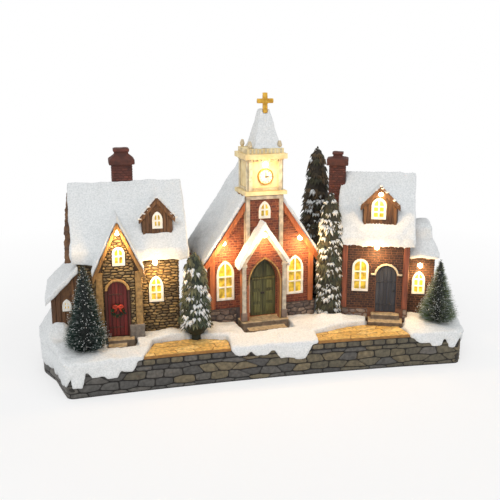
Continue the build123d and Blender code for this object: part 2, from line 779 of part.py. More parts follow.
cottage_steps = Part()
for reach, top, run in zip(COTTAGE_STEP_X, COTTAGE_STEP_TOPS, COTTAGE_STEP_RUNS):
    cottage_steps += block(reach, (WING_FRONT - run, WING_FRONT), (BASE_TOP, top))
for post in cottage_posts:
    cottage_steps = cottage_steps - post
step_clear = (COTTAGE_STEP_X[0][0] - SWEPT_MARGIN, COTTAGE_STEP_X[0][1] + SWEPT_MARGIN)
step_front = WING_FRONT - max(COTTAGE_STEP_RUNS) - SWEPT_FRONT
swept.append(block(step_clear, (step_front, WING_FRONT), (SWEPT_TOP, MOUND_TOP)))

# Cottage annex: a timber lean-to against the left gable.
annex_x = (ANNEX_X, COTTAGE_X[0])
annex_drop = ANNEX_SLOPE * (COTTAGE_X[0] - ANNEX_X)
annex_solid = prism_y(
    [
        (ANNEX_X, BASE_TOP),
        (COTTAGE_X[0], BASE_TOP),
        (COTTAGE_X[0], ANNEX_ROOF_HIGH),
        (ANNEX_X, ANNEX_ROOF_HIGH - annex_drop),
    ],
    ANNEX_Y,
)
annex_inside = block(
    (ANNEX_X + ANNEX_WALL, COTTAGE_X[0]),
    (ANNEX_Y[0] + ANNEX_WALL, ANNEX_Y[1] - ANNEX_WALL),
    (BASE_TOP, ANNEX_ROOF_HIGH),
)
cottage_annex = annex_solid - annex_inside
annex_reach = ANNEX_X - ANNEX_EAVE_OUT
annex_reach_drop = ANNEX_SLOPE * (COTTAGE_X[0] - annex_reach)
annex_roof = prism_y(
    [
        (COTTAGE_X[0], ANNEX_ROOF_HIGH),
        (COTTAGE_X[0], ANNEX_ROOF_HIGH + ANNEX_ROOF_THICK),
        (annex_reach, ANNEX_ROOF_HIGH - annex_reach_drop + ANNEX_ROOF_THICK),
        (annex_reach, ANNEX_ROOF_HIGH - annex_reach_drop),
    ],
    (ANNEX_Y[0] - ANNEX_VERGE, ANNEX_Y[1] + ANNEX_VERGE),
)

frame, pane, hole = window(*ANNEX_WINDOW, "pointed", ANNEX_Y[0], ANNEX_WALL, (0.45,))
frames.append(frame)
panes.append(pane)
cottage_annex = cottage_annex - hole

footprints += [main_solid, wing_solid, annex_solid, cottage_steps, *cottage_posts]

# Church, in its own frame: u along the facade, v towards the back.
church_v = (0, CHURCH_DEPTH)
church_ridge = CHURCH_EAVE + CHURCH_SLOPE * CHURCH_HALF
nave_solid = prism_y(gable(0, CHURCH_HALF, BASE_TOP, church_ridge, CHURCH_SLOPE), church_v)
nave_inside = prism_y(
    gable(0, CHURCH_HALF - CHURCH_WALL, BASE_TOP, church_ridge, CHURCH_SLOPE),
    (CHURCH_WALL, CHURCH_DEPTH - CHURCH_WALL),
)
tower_u = around(TOWER_MIDDLE, TOWER_HALF)
tower_solid = block(tower_u, TOWER_V, (BASE_TOP, TOWER_TOP))
tower_inside = block(
    around(TOWER_MIDDLE, TOWER_HALF - TOWER_WALL),
    (TOWER_V[0] + TOWER_WALL, TOWER_V[1] - TOWER_WALL),
    (BASE_TOP, TOWER_TOP),
)
ledge_u = around(BELFRY_MIDDLE, BELFRY_HALF + LEDGE_OUT)
ledge_v = (BELFRY_V[0] - LEDGE_OUT, BELFRY_V[1] + LEDGE_OUT)
ledge_top = TOWER_TOP + LEDGE_THICK
belfry_solid = block(ledge_u, ledge_v, (TOWER_TOP, ledge_top))
belfry_solid += block(around(BELFRY_MIDDLE, BELFRY_HALF), BELFRY_V, (ledge_top, BELFRY_TOP))
cornice_top = BELFRY_TOP + CORNICE_THICK
belfry_solid += block(ledge_u, ledge_v, (BELFRY_TOP, cornice_top))
parapet_top = cornice_top + PARAPET_THICK
parapet_u = around(BELFRY_MIDDLE, BELFRY_HALF + PARAPET_OUT)
parapet_v = (BELFRY_V[0] - PARAPET_OUT, BELFRY_V[1] + PARAPET_OUT)
belfry_solid += block(parapet_u, parapet_v, (cornice_top, parapet_top))
belfry_inside = block(
    around(BELFRY_MIDDLE, BELFRY_HALF - BELFRY_WALL),
    (BELFRY_V[0] + BELFRY_WALL, BELFRY_V[1] - BELFRY_WALL),
    (TOWER_TOP, BELFRY_TOP),
)
church_walls = nave_solid - nave_inside - tower_solid - belfry_solid
church_tower = tower_solid - tower_inside
belfry = belfry_solid - belfry_inside

church_reach = CHURCH_HALF + CHURCH_EAVE_OUT
church_v_out = (-CHURCH_VERGE, CHURCH_DEPTH + CHURCH_VERGE)
nave_slab = prism_y(chevron(0, church_reach, church_ridge, CHURCH_SLOPE, CHURCH_SLAB), church_v_out)
nave_snow = prism_y(
    chevron(0, church_reach, church_ridge + CHURCH_SLAB, CHURCH_SLOPE, CHURCH_SNOW), church_v_out
)
tower_way = block(tower_u, (church_v_out[0] - PAST, TOWER_V[1]), (BASE_TOP, parapet_top))
church_roof = nave_slab - tower_way - belfry_solid
church_snow = nave_snow - tower_way - belfry_solid

# Church porch: a gabled frame with a snowy roof in front of the tower.
porch_foot = CHURCH_STEP_TOPS[0]
porch_eave = PORCH_RIDGE - PORCH_SLOPE * PORCH_HALF
porch_lamp = (PORCH_MIDDLE, PORCH_RIDGE - PORCH_LAMP_BELOW_RIDGE)
porch_opening_tall = porch_eave + PORCH_OPENING_PAST_EAVE - porch_foot
porch_opening = (PORCH_OPENING[0], porch_foot, PORCH_OPENING[1], porch_opening_tall)
porch_solid = prism_y(gable(PORCH_MIDDLE, PORCH_HALF, porch_foot, PORCH_RIDGE, PORCH_SLOPE), PORCH_V)
church_porch = porch_solid - prism_y(arch_outline(*porch_opening, "pointed"), PORCH_V)
porch_snow = prism_y(
    chevron(PORCH_MIDDLE, PORCH_HALF + PORCH_EAVE_OUT, PORCH_RIDGE, PORCH_SLOPE, PORCH_SNOW),
    (PORCH_V[0] - PORCH_VERGE, TOWER_V[0]),
)

# Church steps, plinth and corner posts.
church_steps = Part()
for reach, top, front in zip(CHURCH_STEP_U, CHURCH_STEP_TOPS, CHURCH_STEP_FRONTS):
    church_steps += block(reach, (front, TOWER_V[0]), (BASE_TOP, top))
plinth_u = (-CHURCH_HALF - PLINTH_OUT, CHURCH_HALF + PLINTH_OUT)
plinth_v = (-PLINTH_OUT, CHURCH_DEPTH + PLINTH_OUT)
church_plinth = block(plinth_u, plinth_v, (BASE_TOP, PLINTH_TOP))
church_plinth = church_plinth - nave_solid - tower_solid - church_steps
corner_posts = []
for side in (-1, 1):
    edge = side * CHURCH_HALF
    inner = edge - side * CORNER_POST
    reach = (min(edge, inner), max(edge, inner))
    corner_posts.append(block(reach, (-PLINTH_OUT, 0), (PLINTH_TOP, CORNER_POST_TOP)))

# Church openings and lamps.
church_door, hole = door(*CHURCH_DOOR, "pointed", TOWER_V[0], TOWER_WALL)
church_tower = church_tower - hole
church_frames = []
church_panes = []
for middle in CHURCH_WINDOW_U:
    frame, pane, hole = window(middle, *CHURCH_WINDOW, "pointed", 0, CHURCH_WALL, (0.32, 0.6))
    church_frames.append(frame)
    church_panes.append(pane)
    church_walls = church_walls - hole
frame, pane, hole = window(*TOWER_WINDOW, "pointed", TOWER_V[0], TOWER_WALL, (0.5,))
church_frames.append(frame)
church_panes.append(pane)
church_tower = church_tower - hole

church_lamps = []
church_wires = []
church_drops = []
for u, z in CHURCH_EAVE_LAMPS:
    bulb, hole = lamp(u, z, 0, CHURCH_WALL)
    church_lamps.append(bulb)
    church_walls = church_walls - hole
    start = CHURCH_WALL + LAMP_FLANGE
    church_wires.append(lead(u, z, start, start + DROP_BACK))
    church_drops.append((u, start + DROP_BACK))
bulb, hole = lamp(*porch_lamp, PORCH_V[0], PORCH_V[1] - PORCH_V[0])
church_lamps.append(bulb)
church_porch = church_porch - hole
church_wires.append(lead(*porch_lamp, PORCH_V[1] + LAMP_FLANGE, PORCH_DROP_V))
church_drops.append((porch_lamp[0], PORCH_DROP_V))
church_tower = church_tower - along_y(
    porch_lamp[0], porch_lamp[1], LAMP_HOLE_RADIUS, (TOWER_V[0] - PAST, TOWER_V[0] + TOWER_WALL + PAST)
)
bulb, hole = lamp(*BELFRY_LAMP, BELFRY_V[0], BELFRY_WALL)
church_lamps.append(bulb)
belfry = belfry - hole
church_wires.append(lead(*BELFRY_LAMP, BELFRY_V[0] + BELFRY_WALL + LAMP_FLANGE, BELFRY_DROP_V))
church_drops.append((BELFRY_LAMP[0], BELFRY_DROP_V))

# Clock, finials, spire and cross.
clock_y = (BELFRY_V[0] - CLOCK_THICK, BELFRY_V[0])
clock_face = along_y(BELFRY_MIDDLE, CLOCK_Z, CLOCK_RADIUS, clock_y)
hand_y = (clock_y[0] - CLOCK_HAND_THICK, clock_y[0])
long_share, short_share = CLOCK_HAND_SHARES
clock_hands = block(
    around(BELFRY_MIDDLE, CLOCK_HAND / 2), hand_y, (CLOCK_Z, CLOCK_Z + CLOCK_RADIUS * long_share)
)
clock_hands += block(
    (BELFRY_MIDDLE, BELFRY_MIDDLE + CLOCK_RADIUS * short_share), hand_y, around(CLOCK_Z, CLOCK_HAND / 2)
)
finials = []
for u in (parapet_u[0] + FINIAL_INSET, parapet_u[1] - FINIAL_INSET):
    for v in (parapet_v[0] + FINIAL_INSET, parapet_v[1] - FINIAL_INSET):
        rings = [
            ring((u, v), FINIAL_RADIUS * FINIAL_NECK_SHARE, FINIAL_SIDES, parapet_top),
            ring((u, v), FINIAL_RADIUS, FINIAL_SIDES, parapet_top + FINIAL_TALL * FINIAL_BELLY_SHARE),
            ring((u, v), FINIAL_RADIUS * FINIAL_NECK_SHARE, FINIAL_SIDES, parapet_top + FINIAL_TALL),
        ]
        finials.append(frustum(rings))
spire_v = sum(BELFRY_V) / 2
spire_ring = [
    (SPIRE_SKIRT_HALF, parapet_top),
    (SPIRE_HALF, parapet_top + SPIRE_SKIRT),
    (SPIRE_TIP_HALF, SPIRE_TOP),
]
spire = frustum(
    [rectangle_ring(around(SPIRE_MIDDLE, half), around(spire_v, half), z) for half, z in spire_ring]
)
for finial in finials:
    spire = spire - finial
cross_v = around(spire_v - CROSS_FORWARD, CROSS_THICK / 2)
spire_cross = block(around(SPIRE_MIDDLE, CROSS_SHAFT / 2), cross_v, (CROSS_FOOT, CROSS_TOP))
spire_cross += block(around(SPIRE_MIDDLE, CROSS_ARM_HALF), cross_v, around(CROSS_ARM_Z, CROSS_SHAFT / 2))
spire = spire - spire_cross


def at_church(shape):
    return placed(shape, CHURCH_PLACE, CHURCH_TURN)


frames += [at_church(shape) for shape in church_frames]
panes += [at_church(shape) for shape in church_panes]
lamps += [at_church(shape) for shape in church_lamps]
wires += [at_church(shape) for shape in church_wires]
drops += [spot(point, CHURCH_PLACE, CHURCH_TURN) for point in church_drops]
church_foot = nave_solid + tower_solid + church_steps + church_plinth
step_clear = (CHURCH_STEP_U[0][0] - SWEPT_MARGIN, CHURCH_STEP_U[0][1] + SWEPT_MARGIN)
step_reach = (CHURCH_STEP_FRONTS[1] - SWEPT_FRONT, 0)
swept.append(at_church(block(step_clear, step_reach, (SWEPT_TOP, MOUND_TOP))))
footprints.append(at_church(church_foot))

# Townhouse, in its own frame: u along the front, v towards the back.
town_u = (0, TOWN_WIDTH)
town_middle_v = TOWN_DEPTH / 2
town_ridge = TOWN_EAVE + TOWN_SLOPE * town_middle_v
town_solid = prism_x(gable(town_middle_v, town_middle_v, BASE_TOP, town_ridge, TOWN_SLOPE), town_u)
town_inside = prism_x(
    gable(town_middle_v, town_middle_v - TOWN_WALL, BASE_TOP, town_ridge, TOWN_SLOPE),
    (TOWN_WALL, TOWN_WIDTH - TOWN_WALL),
)
town_walls = town_solid - town_inside
town_reach = town_middle_v + TOWN_EAVE_OUT
town_u_out = (-TOWN_VERGE, TOWN_WIDTH + TOWN_VERGE)
town_below = town_solid + prism_x(under(town_middle_v, town_reach, town_ridge, TOWN_SLOPE), town_u_out)
town_slab = prism_x(chevron(town_middle_v, town_reach, town_ridge, TOWN_SLOPE, TOWN_SLAB), town_u_out)
town_snow = prism_x(
    blanket(town_middle_v, town_reach, town_ridge, TOWN_SLOPE, TOWN_SLAB, TOWN_SNOW),
    (town_u_out[0] - SNOW_LIP, town_u_out[1] + SNOW_LIP),
)
town_snow = town_snow - town_below - town_slab
town_dormer_foot = TOWN_EAVE + TOWN_SLOPE * TOWN_DORMER_FRONT + TOWN_SLAB
town_dormer_ridge = town_dormer_foot + TOWN_DORMER_TALL
town_dormer_lamp = (TOWN_DORMER_LAMP_U, town_dormer_foot + TOWN_DORMER_TALL * TOWN_DORMER_LAMP_SHARE)
town_dormer_v = (TOWN_DORMER_FRONT, TOWN_DORMER_BACK)
town_dormer_solid = prism_y(
    gable(TOWN_DORMER_MIDDLE, TOWN_DORMER_HALF, BASE_TOP, town_dormer_ridge, TOWN_DORMER_SLOPE),
    town_dormer_v,
)
town_dormer_inside = prism_y(
    gable(
        TOWN_DORMER_MIDDLE, TOWN_DORMER_HALF - DORMER_WALL, BASE_TOP, town_dormer_ridge, TOWN_DORMER_SLOPE
    ),
    (TOWN_DORMER_FRONT + DORMER_WALL, TOWN_DORMER_BACK),
)
town_dormer_snow = prism_y(
    chevron(
        TOWN_DORMER_MIDDLE,
        TOWN_DORMER_HALF + DORMER_EAVE_OUT,
        town_dormer_ridge,
        TOWN_DORMER_SLOPE,
        DORMER_SNOW,
    ),
    town_dormer_v,
)
town_dormer_boards = prism_y(
    chevron(
        TOWN_DORMER_MIDDLE,
        TOWN_DORMER_HALF + DORMER_EAVE_OUT,
        town_dormer_ridge - DORMER_BOARD_DROP,
        TOWN_DORMER_SLOPE,
        DORMER_BOARD_TALL,
    ),
    (TOWN_DORMER_FRONT - DORMER_BOARD, TOWN_DORMER_FRONT),
)
town_dormer = town_dormer_solid - town_dormer_inside + town_dormer_boards - town_below - town_slab
town_chimney = chimney(
    TOWN_CHIMNEY_U,
    TOWN_CHIMNEY_V,
    BASE_TOP,
    TOWN_CHIMNEY_CAP_Z,
    TOWN_CHIMNEY_SHOULDER,
    TOWN_CHIMNEY_TOP,
    TOWN_POT_SHARE,
)
town_roof = town_slab - town_chimney
town_snow = town_snow + (town_dormer_snow - town_below - town_slab) - town_dormer_solid - town_chimney
town_snow = town_snow - town_dormer_boards

town_frames = []
town_panes = []
for place, kind, face, wall, bar_shares in (
    (TOWN_WINDOW, "round", 0, TOWN_WALL, (0.32, 0.62)),
):
    frame, pane, hole = window(*place, kind, face, wall, bar_shares)
    town_frames.append(frame)
    town_panes.append(pane)
    town_walls = town_walls - hole
sill_share, height_share = TOWN_DORMER_WINDOW_SHARES
frame, pane, hole = window(
    TOWN_DORMER_WINDOW[0],
    town_dormer_foot + TOWN_DORMER_TALL * sill_share,
    TOWN_DORMER_WINDOW[1],
    TOWN_DORMER_TALL * height_share,
    "round",
    TOWN_DORMER_FRONT,
    DORMER_WALL,
    (0.32, 0.62),
)
town_frames.append(frame)
town_panes.append(pane)
town_dormer = town_dormer - hole
town_door, doorway = door(*TOWN_DOOR, "round", 0, TOWN_WALL)
town_walls = town_walls - doorway

hood_v = (-HOOD_PROUD, 0)
hood_low = TOWN_DOOR[1] + TOWN_DOOR[3] - HOOD_DROP
door_hood = prism_y(arch_outline(*TOWN_DOOR, "round", HOOD_WIDTH), hood_v)
door_hood = door_hood - prism_y(arch_outline(*TOWN_DOOR, "round"), hood_v)
door_hood = door_hood - block(around(TOWN_DOOR[0], TOWN_DOOR[2]), hood_v, (BASE_TOP, hood_low))
for side in (-1, 1):
    inner = TOWN_DOOR[0] + side * TOWN_DOOR[2] / 2
    outer = inner + side * (HOOD_WIDTH + HOOD_RETURN)
    door_hood += block((min(inner, outer), max(inner, outer)), hood_v, (hood_low, hood_low + HOOD_WIDTH))

town_steps = Part()
for reach, top, front in zip(TOWN_STEP_U, TOWN_STEP_TOPS, TOWN_STEP_FRONTS):
    town_steps += block(reach, (front, 0), (BASE_TOP, top))
town_posts = []
town_eave = TOWN_EAVE - TOWN_SLOPE * TOWN_POST_PROUD
for side_u in ((0, TOWN_POST), (TOWN_WIDTH - TOWN_POST, TOWN_WIDTH)):
    town_posts.append(block(side_u, (-TOWN_POST_PROUD, 0), (TOWN_PLINTH_TOP, town_eave)))
plinth_front = (-TOWN_POST_PROUD, 0)
town_plinth = block(town_u, plinth_front, (BASE_TOP, TOWN_PLINTH_TOP)) - town_steps - doorway

# Townhouse annex with a bell-cast snowy roof.
annex_u = (TOWN_WIDTH, TOWN_ANNEX_U)
town_annex_solid = block(annex_u, TOWN_ANNEX_V, (BASE_TOP, TOWN_ANNEX_TOP))
town_annex = town_annex_solid - block(
    (TOWN_WIDTH, TOWN_ANNEX_U - TOWN_ANNEX_WALL),
    (TOWN_ANNEX_V[0] + TOWN_ANNEX_WALL, TOWN_ANNEX_V[1] - TOWN_ANNEX_WALL),
    (BASE_TOP, TOWN_ANNEX_TOP),
)
eave_u = (TOWN_WIDTH, TOWN_ANNEX_U + TOWN_ANNEX_EAVE)
eave_v = (TOWN_ANNEX_V[0] - TOWN_ANNEX_EAVE, TOWN_ANNEX_V[1] + TOWN_ANNEX_EAVE)
annex_rings = [rectangle_ring(eave_u, eave_v, level) for level in (TOWN_ANNEX_TOP, TOWN_ANNEX_FLARE)]
for inset, level in zip(TOWN_ANNEX_BEND_IN, (*TOWN_ANNEX_BEND_Z, TOWN_ANNEX_ROOF_TOP)):
    ring_u = (TOWN_WIDTH, eave_u[1] - inset)
    ring_v = (eave_v[0] + inset, eave_v[1] - inset)
    annex_rings.append(rectangle_ring(ring_u, ring_v, level))
annex_snow = frustum(annex_rings)
annex_snow = annex_snow - town_below - town_slab - town_snow
frame, pane, hole = window(*TOWN_ANNEX_WINDOW, "pointed", TOWN_ANNEX_V[0], TOWN_ANNEX_WALL, (0.34, 0.66))
town_frames.append(frame)
town_panes.append(pane)
town_annex = town_annex - hole

town_lamps = []
town_wires = []
town_drops = []
bulb, hole = lamp(*town_dormer_lamp, TOWN_DORMER_FRONT, DORMER_WALL)
town_lamps.append(bulb)
town_dormer = town_dormer - hole
start = TOWN_DORMER_FRONT + DORMER_WALL + LAMP_FLANGE
town_wires.append(lead(*town_dormer_lamp, start, start + DORMER_DROP))
town_drops.append((town_dormer_lamp[0], start + DORMER_DROP))
bulb, hole = lamp(*TOWN_WALL_LAMP, 0, TOWN_WALL)
town_lamps.append(bulb)
town_walls = town_walls - hole
start = TOWN_WALL + LAMP_FLANGE
town_wires.append(lead(*TOWN_WALL_LAMP, start, start + DROP_BACK))
town_drops.append((TOWN_WALL_LAMP[0], start + DROP_BACK))
bulb, hole = lamp(*TOWN_ANNEX_LAMP, TOWN_ANNEX_V[0], TOWN_ANNEX_WALL)
town_lamps.append(bulb)
town_annex = town_annex - hole
start = TOWN_ANNEX_V[0] + TOWN_ANNEX_WALL + LAMP_FLANGE
town_wires.append(lead(*TOWN_ANNEX_LAMP, start, start + DROP_BACK))
town_drops.append((TOWN_ANNEX_LAMP[0], start + DROP_BACK))
dormer_hole = upright(town_drops[0], WIRE_HOLE_RADIUS, (TOWN_PLINTH_TOP, town_dormer_ridge))
town_roof = town_roof - (dormer_hole & town_dormer_inside)


def at_town(shape):
    return placed(shape, TOWN_PLACE, TOWN_TURN)


frames += [at_town(shape) for shape in town_frames]
panes += [at_town(shape) for shape in town_panes]
lamps += [at_town(shape) for shape in town_lamps]
wires += [at_town(shape) for shape in town_wires]
drops += [spot(point, TOWN_PLACE, TOWN_TURN) for point in town_drops]
town_foot = town_solid + town_chimney + town_annex_solid + town_steps + town_plinth
step_clear = (TOWN_STEP_U[1][0] - SWEPT_MARGIN, TOWN_STEP_U[1][1] + SWEPT_MARGIN)
step_reach = (TOWN_STEP_FRONTS[1] - SWEPT_FRONT, 0)
swept.append(at_town(block(step_clear, step_reach, (SWEPT_TOP, MOUND_TOP))))
footprints.append(at_town(town_foot))

# Trees: tiered cast firs, and brush trees on wire stems.
church_right = CHURCH_HALF + PLINTH_OUT + FIR_CLEARANCE
church_roof_reach = church_reach + FIR_CLEARANCE
church_snow_top = church_ridge + CHURCH_SLAB + CHURCH_SNOW + FIR_CLEARANCE
church_outside = [
    (0, BASE_TOP),
    (church_right, BASE_TOP),
    (church_right, church_ridge - CHURCH_SLOPE * church_roof_reach),
    (church_roof_reach, church_ridge - CHURCH_SLOPE * church_roof_reach),
    (church_roof_reach, church_snow_top - CHURCH_SLOPE * church_reach),
    (0, church_snow_top),
]
church_zone = prism_y(church_outside, (church_v_out[0] - FIR_CLEARANCE, church_v_out[1] + FIR_CLEARANCE))
town_zone = block(
    (-FIR_CLEARANCE, TOWN_WIDTH), (-TOWN_POST_PROUD - FIR_CLEARANCE, TOWN_DEPTH), (BASE_TOP, town_ridge)
)
town_zone += prism_x(
    chevron(town_middle_v, town_reach + 2 * SNOW_LIP, town_ridge, TOWN_SLOPE, TOWN_SLAB + 2 * TOWN_SNOW),
    (town_u_out[0] - SNOW_LIP - FIR_CLEARANCE, TOWN_WIDTH),
)
town_zone += block(
    (TOWN_CHIMNEY_U[0] - CAP_OUT - FIR_CLEARANCE, 0),
    (TOWN_CHIMNEY_V[0] - CAP_OUT - FIR_CLEARANCE, TOWN_CHIMNEY_V[1] + CAP_OUT + FIR_CLEARANCE),
    (BASE_TOP, TOWN_CHIMNEY_TOP + PAST),
)
firs = []
trunks = []
for (middle, radius, foot, top), tiers, swell in zip(FIRS, FIR_TIER_COUNTS, FIR_SWELL_SHARES):
    height = top - foot

    def spread(share):
        return radius * (min(1, swell * (1 - share) ** FIR_POWER) + TIP_SHARE)

    tree = Part()
    for tier in range(tiers):
        low = tier / tiers
        high = (tier + 1) / tiers
        tree += frustum(
            [
                ring(middle, spread(low), TREE_SIDES, foot + height * low),
                ring(middle, spread(high) * TIER_WAIST_SHARE, TREE_SIDES, foot + height * high),
            ]
        )
    outline = [(x, y) for x, y, _ in ring(middle, radius * TRUNK_SHARE, TREE_SIDES, 0)]
    trunk = prism_z(outline, (BASE_TOP, foot))
    trunks.append(trunk)
    footprints.append(trunk)
    firs.append(tree - at_church(church_zone) - at_town(town_zone) + trunk)
brushes = []
stems = []
for x, radius, foot, top in BRUSHES:
    middle = (x, BRUSH_FROM_FRONT - half_depth)
    height = top - foot
    body = frustum(
        [
            ring(middle, radius * BRUSH_FOOT_SHARE, TREE_SIDES, foot),
            ring(middle, radius, TREE_SIDES, foot + height * BRUSH_BELLY_SHARE),
            ring(middle, radius * TIP_SHARE, TREE_SIDES, top),
        ]
    )
    outline = [(x, y) for x, y, _ in ring(middle, STEM_RADIUS, STEM_SIDES, 0)]
    stem = prism_z(outline, (BASE_TOP, foot + height * STEM_TOP_SHARE / 2))
    footprints.append(stem)
    brushes.append(body - stem)
    stems.append(stem)

# Ground: paving patches flush with the front edge, and snow everywhere else.
pavings = []
for outline in (LEFT_PAVING, RIGHT_PAVING):
    patch = prism_z(outline, (BASE_TOP, BASE_TOP + PAVING_THICK))
    pavings.append(patch & flat_prism(plan, (BASE_TOP, BASE_TOP + PAVING_THICK)))
snow_plan = offset(plan, amount=SNOW_OVERHANG)
snow_z = (BASE_TOP, SNOW_TOP)
ground_snow = flat_prism(snow_plan, snow_z)
ramp_front = -BASE_DEPTH / 2 - SNOW_OVERHANG - PAST
ramp = prism_x(
    [
        (ramp_front, SNOW_FRONT_TOP),
        (RAMP_BACK_Y, SNOW_TOP),
        (RAMP_BACK_Y, MOUND_TOP),
        (ramp_front, MOUND_TOP),
    ],
    around(0, BASE_LENGTH),
)
ground_snow = ground_snow - ramp
mound_face = make_face(Polyline(*LEFT_MOUND, close=True))
mound = Pos(0, 0, SNOW_TOP) * extrude(mound_face, amount=MOUND_TOP - SNOW_TOP, taper=MOUND_TAPER)
ground_snow += mound & flat_prism(snow_plan, (SNOW_TOP, MOUND_TOP))
drip_band = flat_prism(snow_plan, (0, BASE_TOP)) - flat_prism(plan, (0, BASE_TOP))
drip_y = (ramp_front, -BASE_DEPTH / 2 + FRONT_SAG)
for middle, half, tip in DRIPS:
    outline = [
        (middle - half, BASE_TOP),
        (middle - half * DRIP_TIP_SHARE, tip),
        (middle + half * DRIP_TIP_SHARE, tip),
        (middle + half, BASE_TOP),
    ]
    ground_snow += prism_y(outline, drip_y) & drip_band
for outline in (LEFT_PAVING, RIGHT_PAVING):
    ground_snow = ground_snow - prism_z(outline, (0, MOUND_TOP))
for area in swept:
    ground_snow = ground_snow - area
for foot in footprints:
    ground_snow = ground_snow - foot
for foot in (at_town(town_steps), at_church(church_steps), cottage_steps, *trunks):
    pavings = [patch - foot for patch in pavings]

# Base casting, open below, with screw bosses and wire holes.
base_casting = flat_prism(plan, (0, BASE_TOP))
base_casting = base_casting - flat_prism(offset(plan, amount=-BASE_WALL), (0, CAVITY_TOP))
base_casting = base_casting - flat_prism(offset(plan, amount=-RIM_WIDTH), (0, PLATE_TOP))
boss_x = half_length - BOSS_FROM_END
boss_y = (BOSS_FROM_FRONT - half_depth, half_depth - BOSS_FROM_BACK)
boss_spots = [(x, y) for x in (-boss_x, boss_x) for y in boss_y]
for middle in boss_spots:
    base_casting += upright(middle, BOSS_RADIUS, (PLATE_TOP, CAVITY_TOP))
for middle in boss_spots:
    base_casting = base_casting - upright(middle, PILOT_RADIUS, (PLATE_TOP, PILOT_TOP))
for middle in drops:
    base_casting = base_casting - upright(middle, WIRE_HOLE_RADIUS, (CAVITY_TOP, BASE_TOP))

base_plate = flat_prism(offset(plan, amount=-RIM_WIDTH - PLATE_GAP), (PLATE_BOTTOM, PLATE_TOP))
screws = []
for middle in boss_spots:
    base_plate = base_plate - upright(middle, PILOT_RADIUS, (PLATE_BOTTOM, PLATE_TOP))
    head = upright(middle, SCREW_HEAD_RADIUS, (SCREW_HEAD_BOTTOM, PLATE_BOTTOM))
    screws.append(head + upright(middle, SCREW_RADIUS, (PLATE_BOTTOM, SCREW_TOP)))
pad_x = half_length - PAD_FROM_END
pad_y = (PAD_FROM_FRONT - half_depth, half_depth - PAD_FROM_BACK)
pad_spots = [(x, y) for x in (-pad_x, pad_x) for y in pad_y]
pads = [upright(middle, PAD_RADIUS, (0, PLATE_BOTTOM)) for middle in pad_spots]

# Battery bay: a box on the plate, cells along X, contacts at both ends.
bay_length = CELL_LENGTH + CELL_NUB + 2 * CONTACT_REACH
bay_width = CELL_PITCH * CELL_COUNT
bay_x = around(half_length - BOX_FROM_END, bay_length / 2)
bay_y = around(half_depth - BOX_FROM_BACK, bay_width / 2)
box_x = (bay_x[0] - BOX_WALL, bay_x[1] + BOX_WALL)
box_y = (bay_y[0] - BOX_WALL, bay_y[1] + BOX_WALL)
battery_box = block(box_x, box_y, (PLATE_TOP, BOX_ROOF_TOP))
battery_box = battery_box - block(bay_x, bay_y, (PLATE_TOP, BOX_ROOF_TOP - BOX_ROOF))
base_plate = base_plate - block(bay_x, bay_y, (PLATE_BOTTOM, PLATE_TOP))
cell_z = PLATE_TOP + CELL_LIFT + CELL_RADIUS
cells = []
contacts = []
for i in range(CELL_COUNT):
    y = bay_y[0] + CELL_PITCH * (i + 1 / 2)
    flip = i % 2
    low = bay_x[0] + CONTACT_REACH + CELL_NUB * flip
    cell = along_x(y, cell_z, CELL_RADIUS, (low, low + CELL_LENGTH))
    if flip:
        cell += along_x(y, cell_z, CELL_NUB_RADIUS, (low - CELL_NUB, low))
    else:
        cell += along_x(y, cell_z, CELL_NUB_RADIUS, (low + CELL_LENGTH, low + CELL_LENGTH + CELL_NUB))
    cells.append(cell)
    for wall_x, side in ((bay_x[0], 1), (bay_x[1], -1)):
        strip_end = wall_x + side * CONTACT_THICK
        tongue_end = wall_x + side * CONTACT_REACH
        strip = block(
            (min(wall_x, strip_end), max(wall_x, strip_end)),
            around(y, CONTACT_WIDTH / 2),
            around(cell_z, CONTACT_HEIGHT / 2),
        )
        tongue = block(
            (min(strip_end, tongue_end), max(strip_end, tongue_end)),
            around(y, CELL_NUB_RADIUS),
            around(cell_z, CELL_NUB_RADIUS),
        )
        contacts.append(strip + tongue)

# Battery cover: a plate on a hinge along the back edge of the bay.
hinge_y = bay_y[1] - DOOR_GAP - HINGE_RADIUS
hinge_z = PLATE_BOTTOM + HINGE_RADIUS
cover_x = (bay_x[0] + HINGE_BLOCK + DOOR_GAP, bay_x[1] - HINGE_BLOCK - DOOR_GAP)
cover_z = (PLATE_BOTTOM, PLATE_BOTTOM + DOOR_PLATE_THICK)
battery_cover = block(cover_x, (bay_y[0] + DOOR_GAP, hinge_y), cover_z)
battery_cover += along_x(hinge_y, hinge_z, HINGE_RADIUS, cover_x)
pin_x = (cover_x[0] - DOOR_GAP - HINGE_PIN_REACH, cover_x[1] + DOOR_GAP + HINGE_PIN_REACH)
battery_cover += along_x(hinge_y, hinge_z, HINGE_PIN_RADIUS, pin_x)
for wall_x, edge in ((bay_x[0], cover_x[0] - DOOR_GAP), (bay_x[1], cover_x[1] + DOOR_GAP)):
    ear_x = (min(wall_x, edge), max(wall_x, edge))
    ear = block(ear_x, bay_y, (PLATE_BOTTOM, PLATE_TOP))
    ear = ear - along_x(hinge_y, hinge_z, HINGE_PIN_RADIUS + HINGE_CLEARANCE, ear_x)
    base_plate += ear

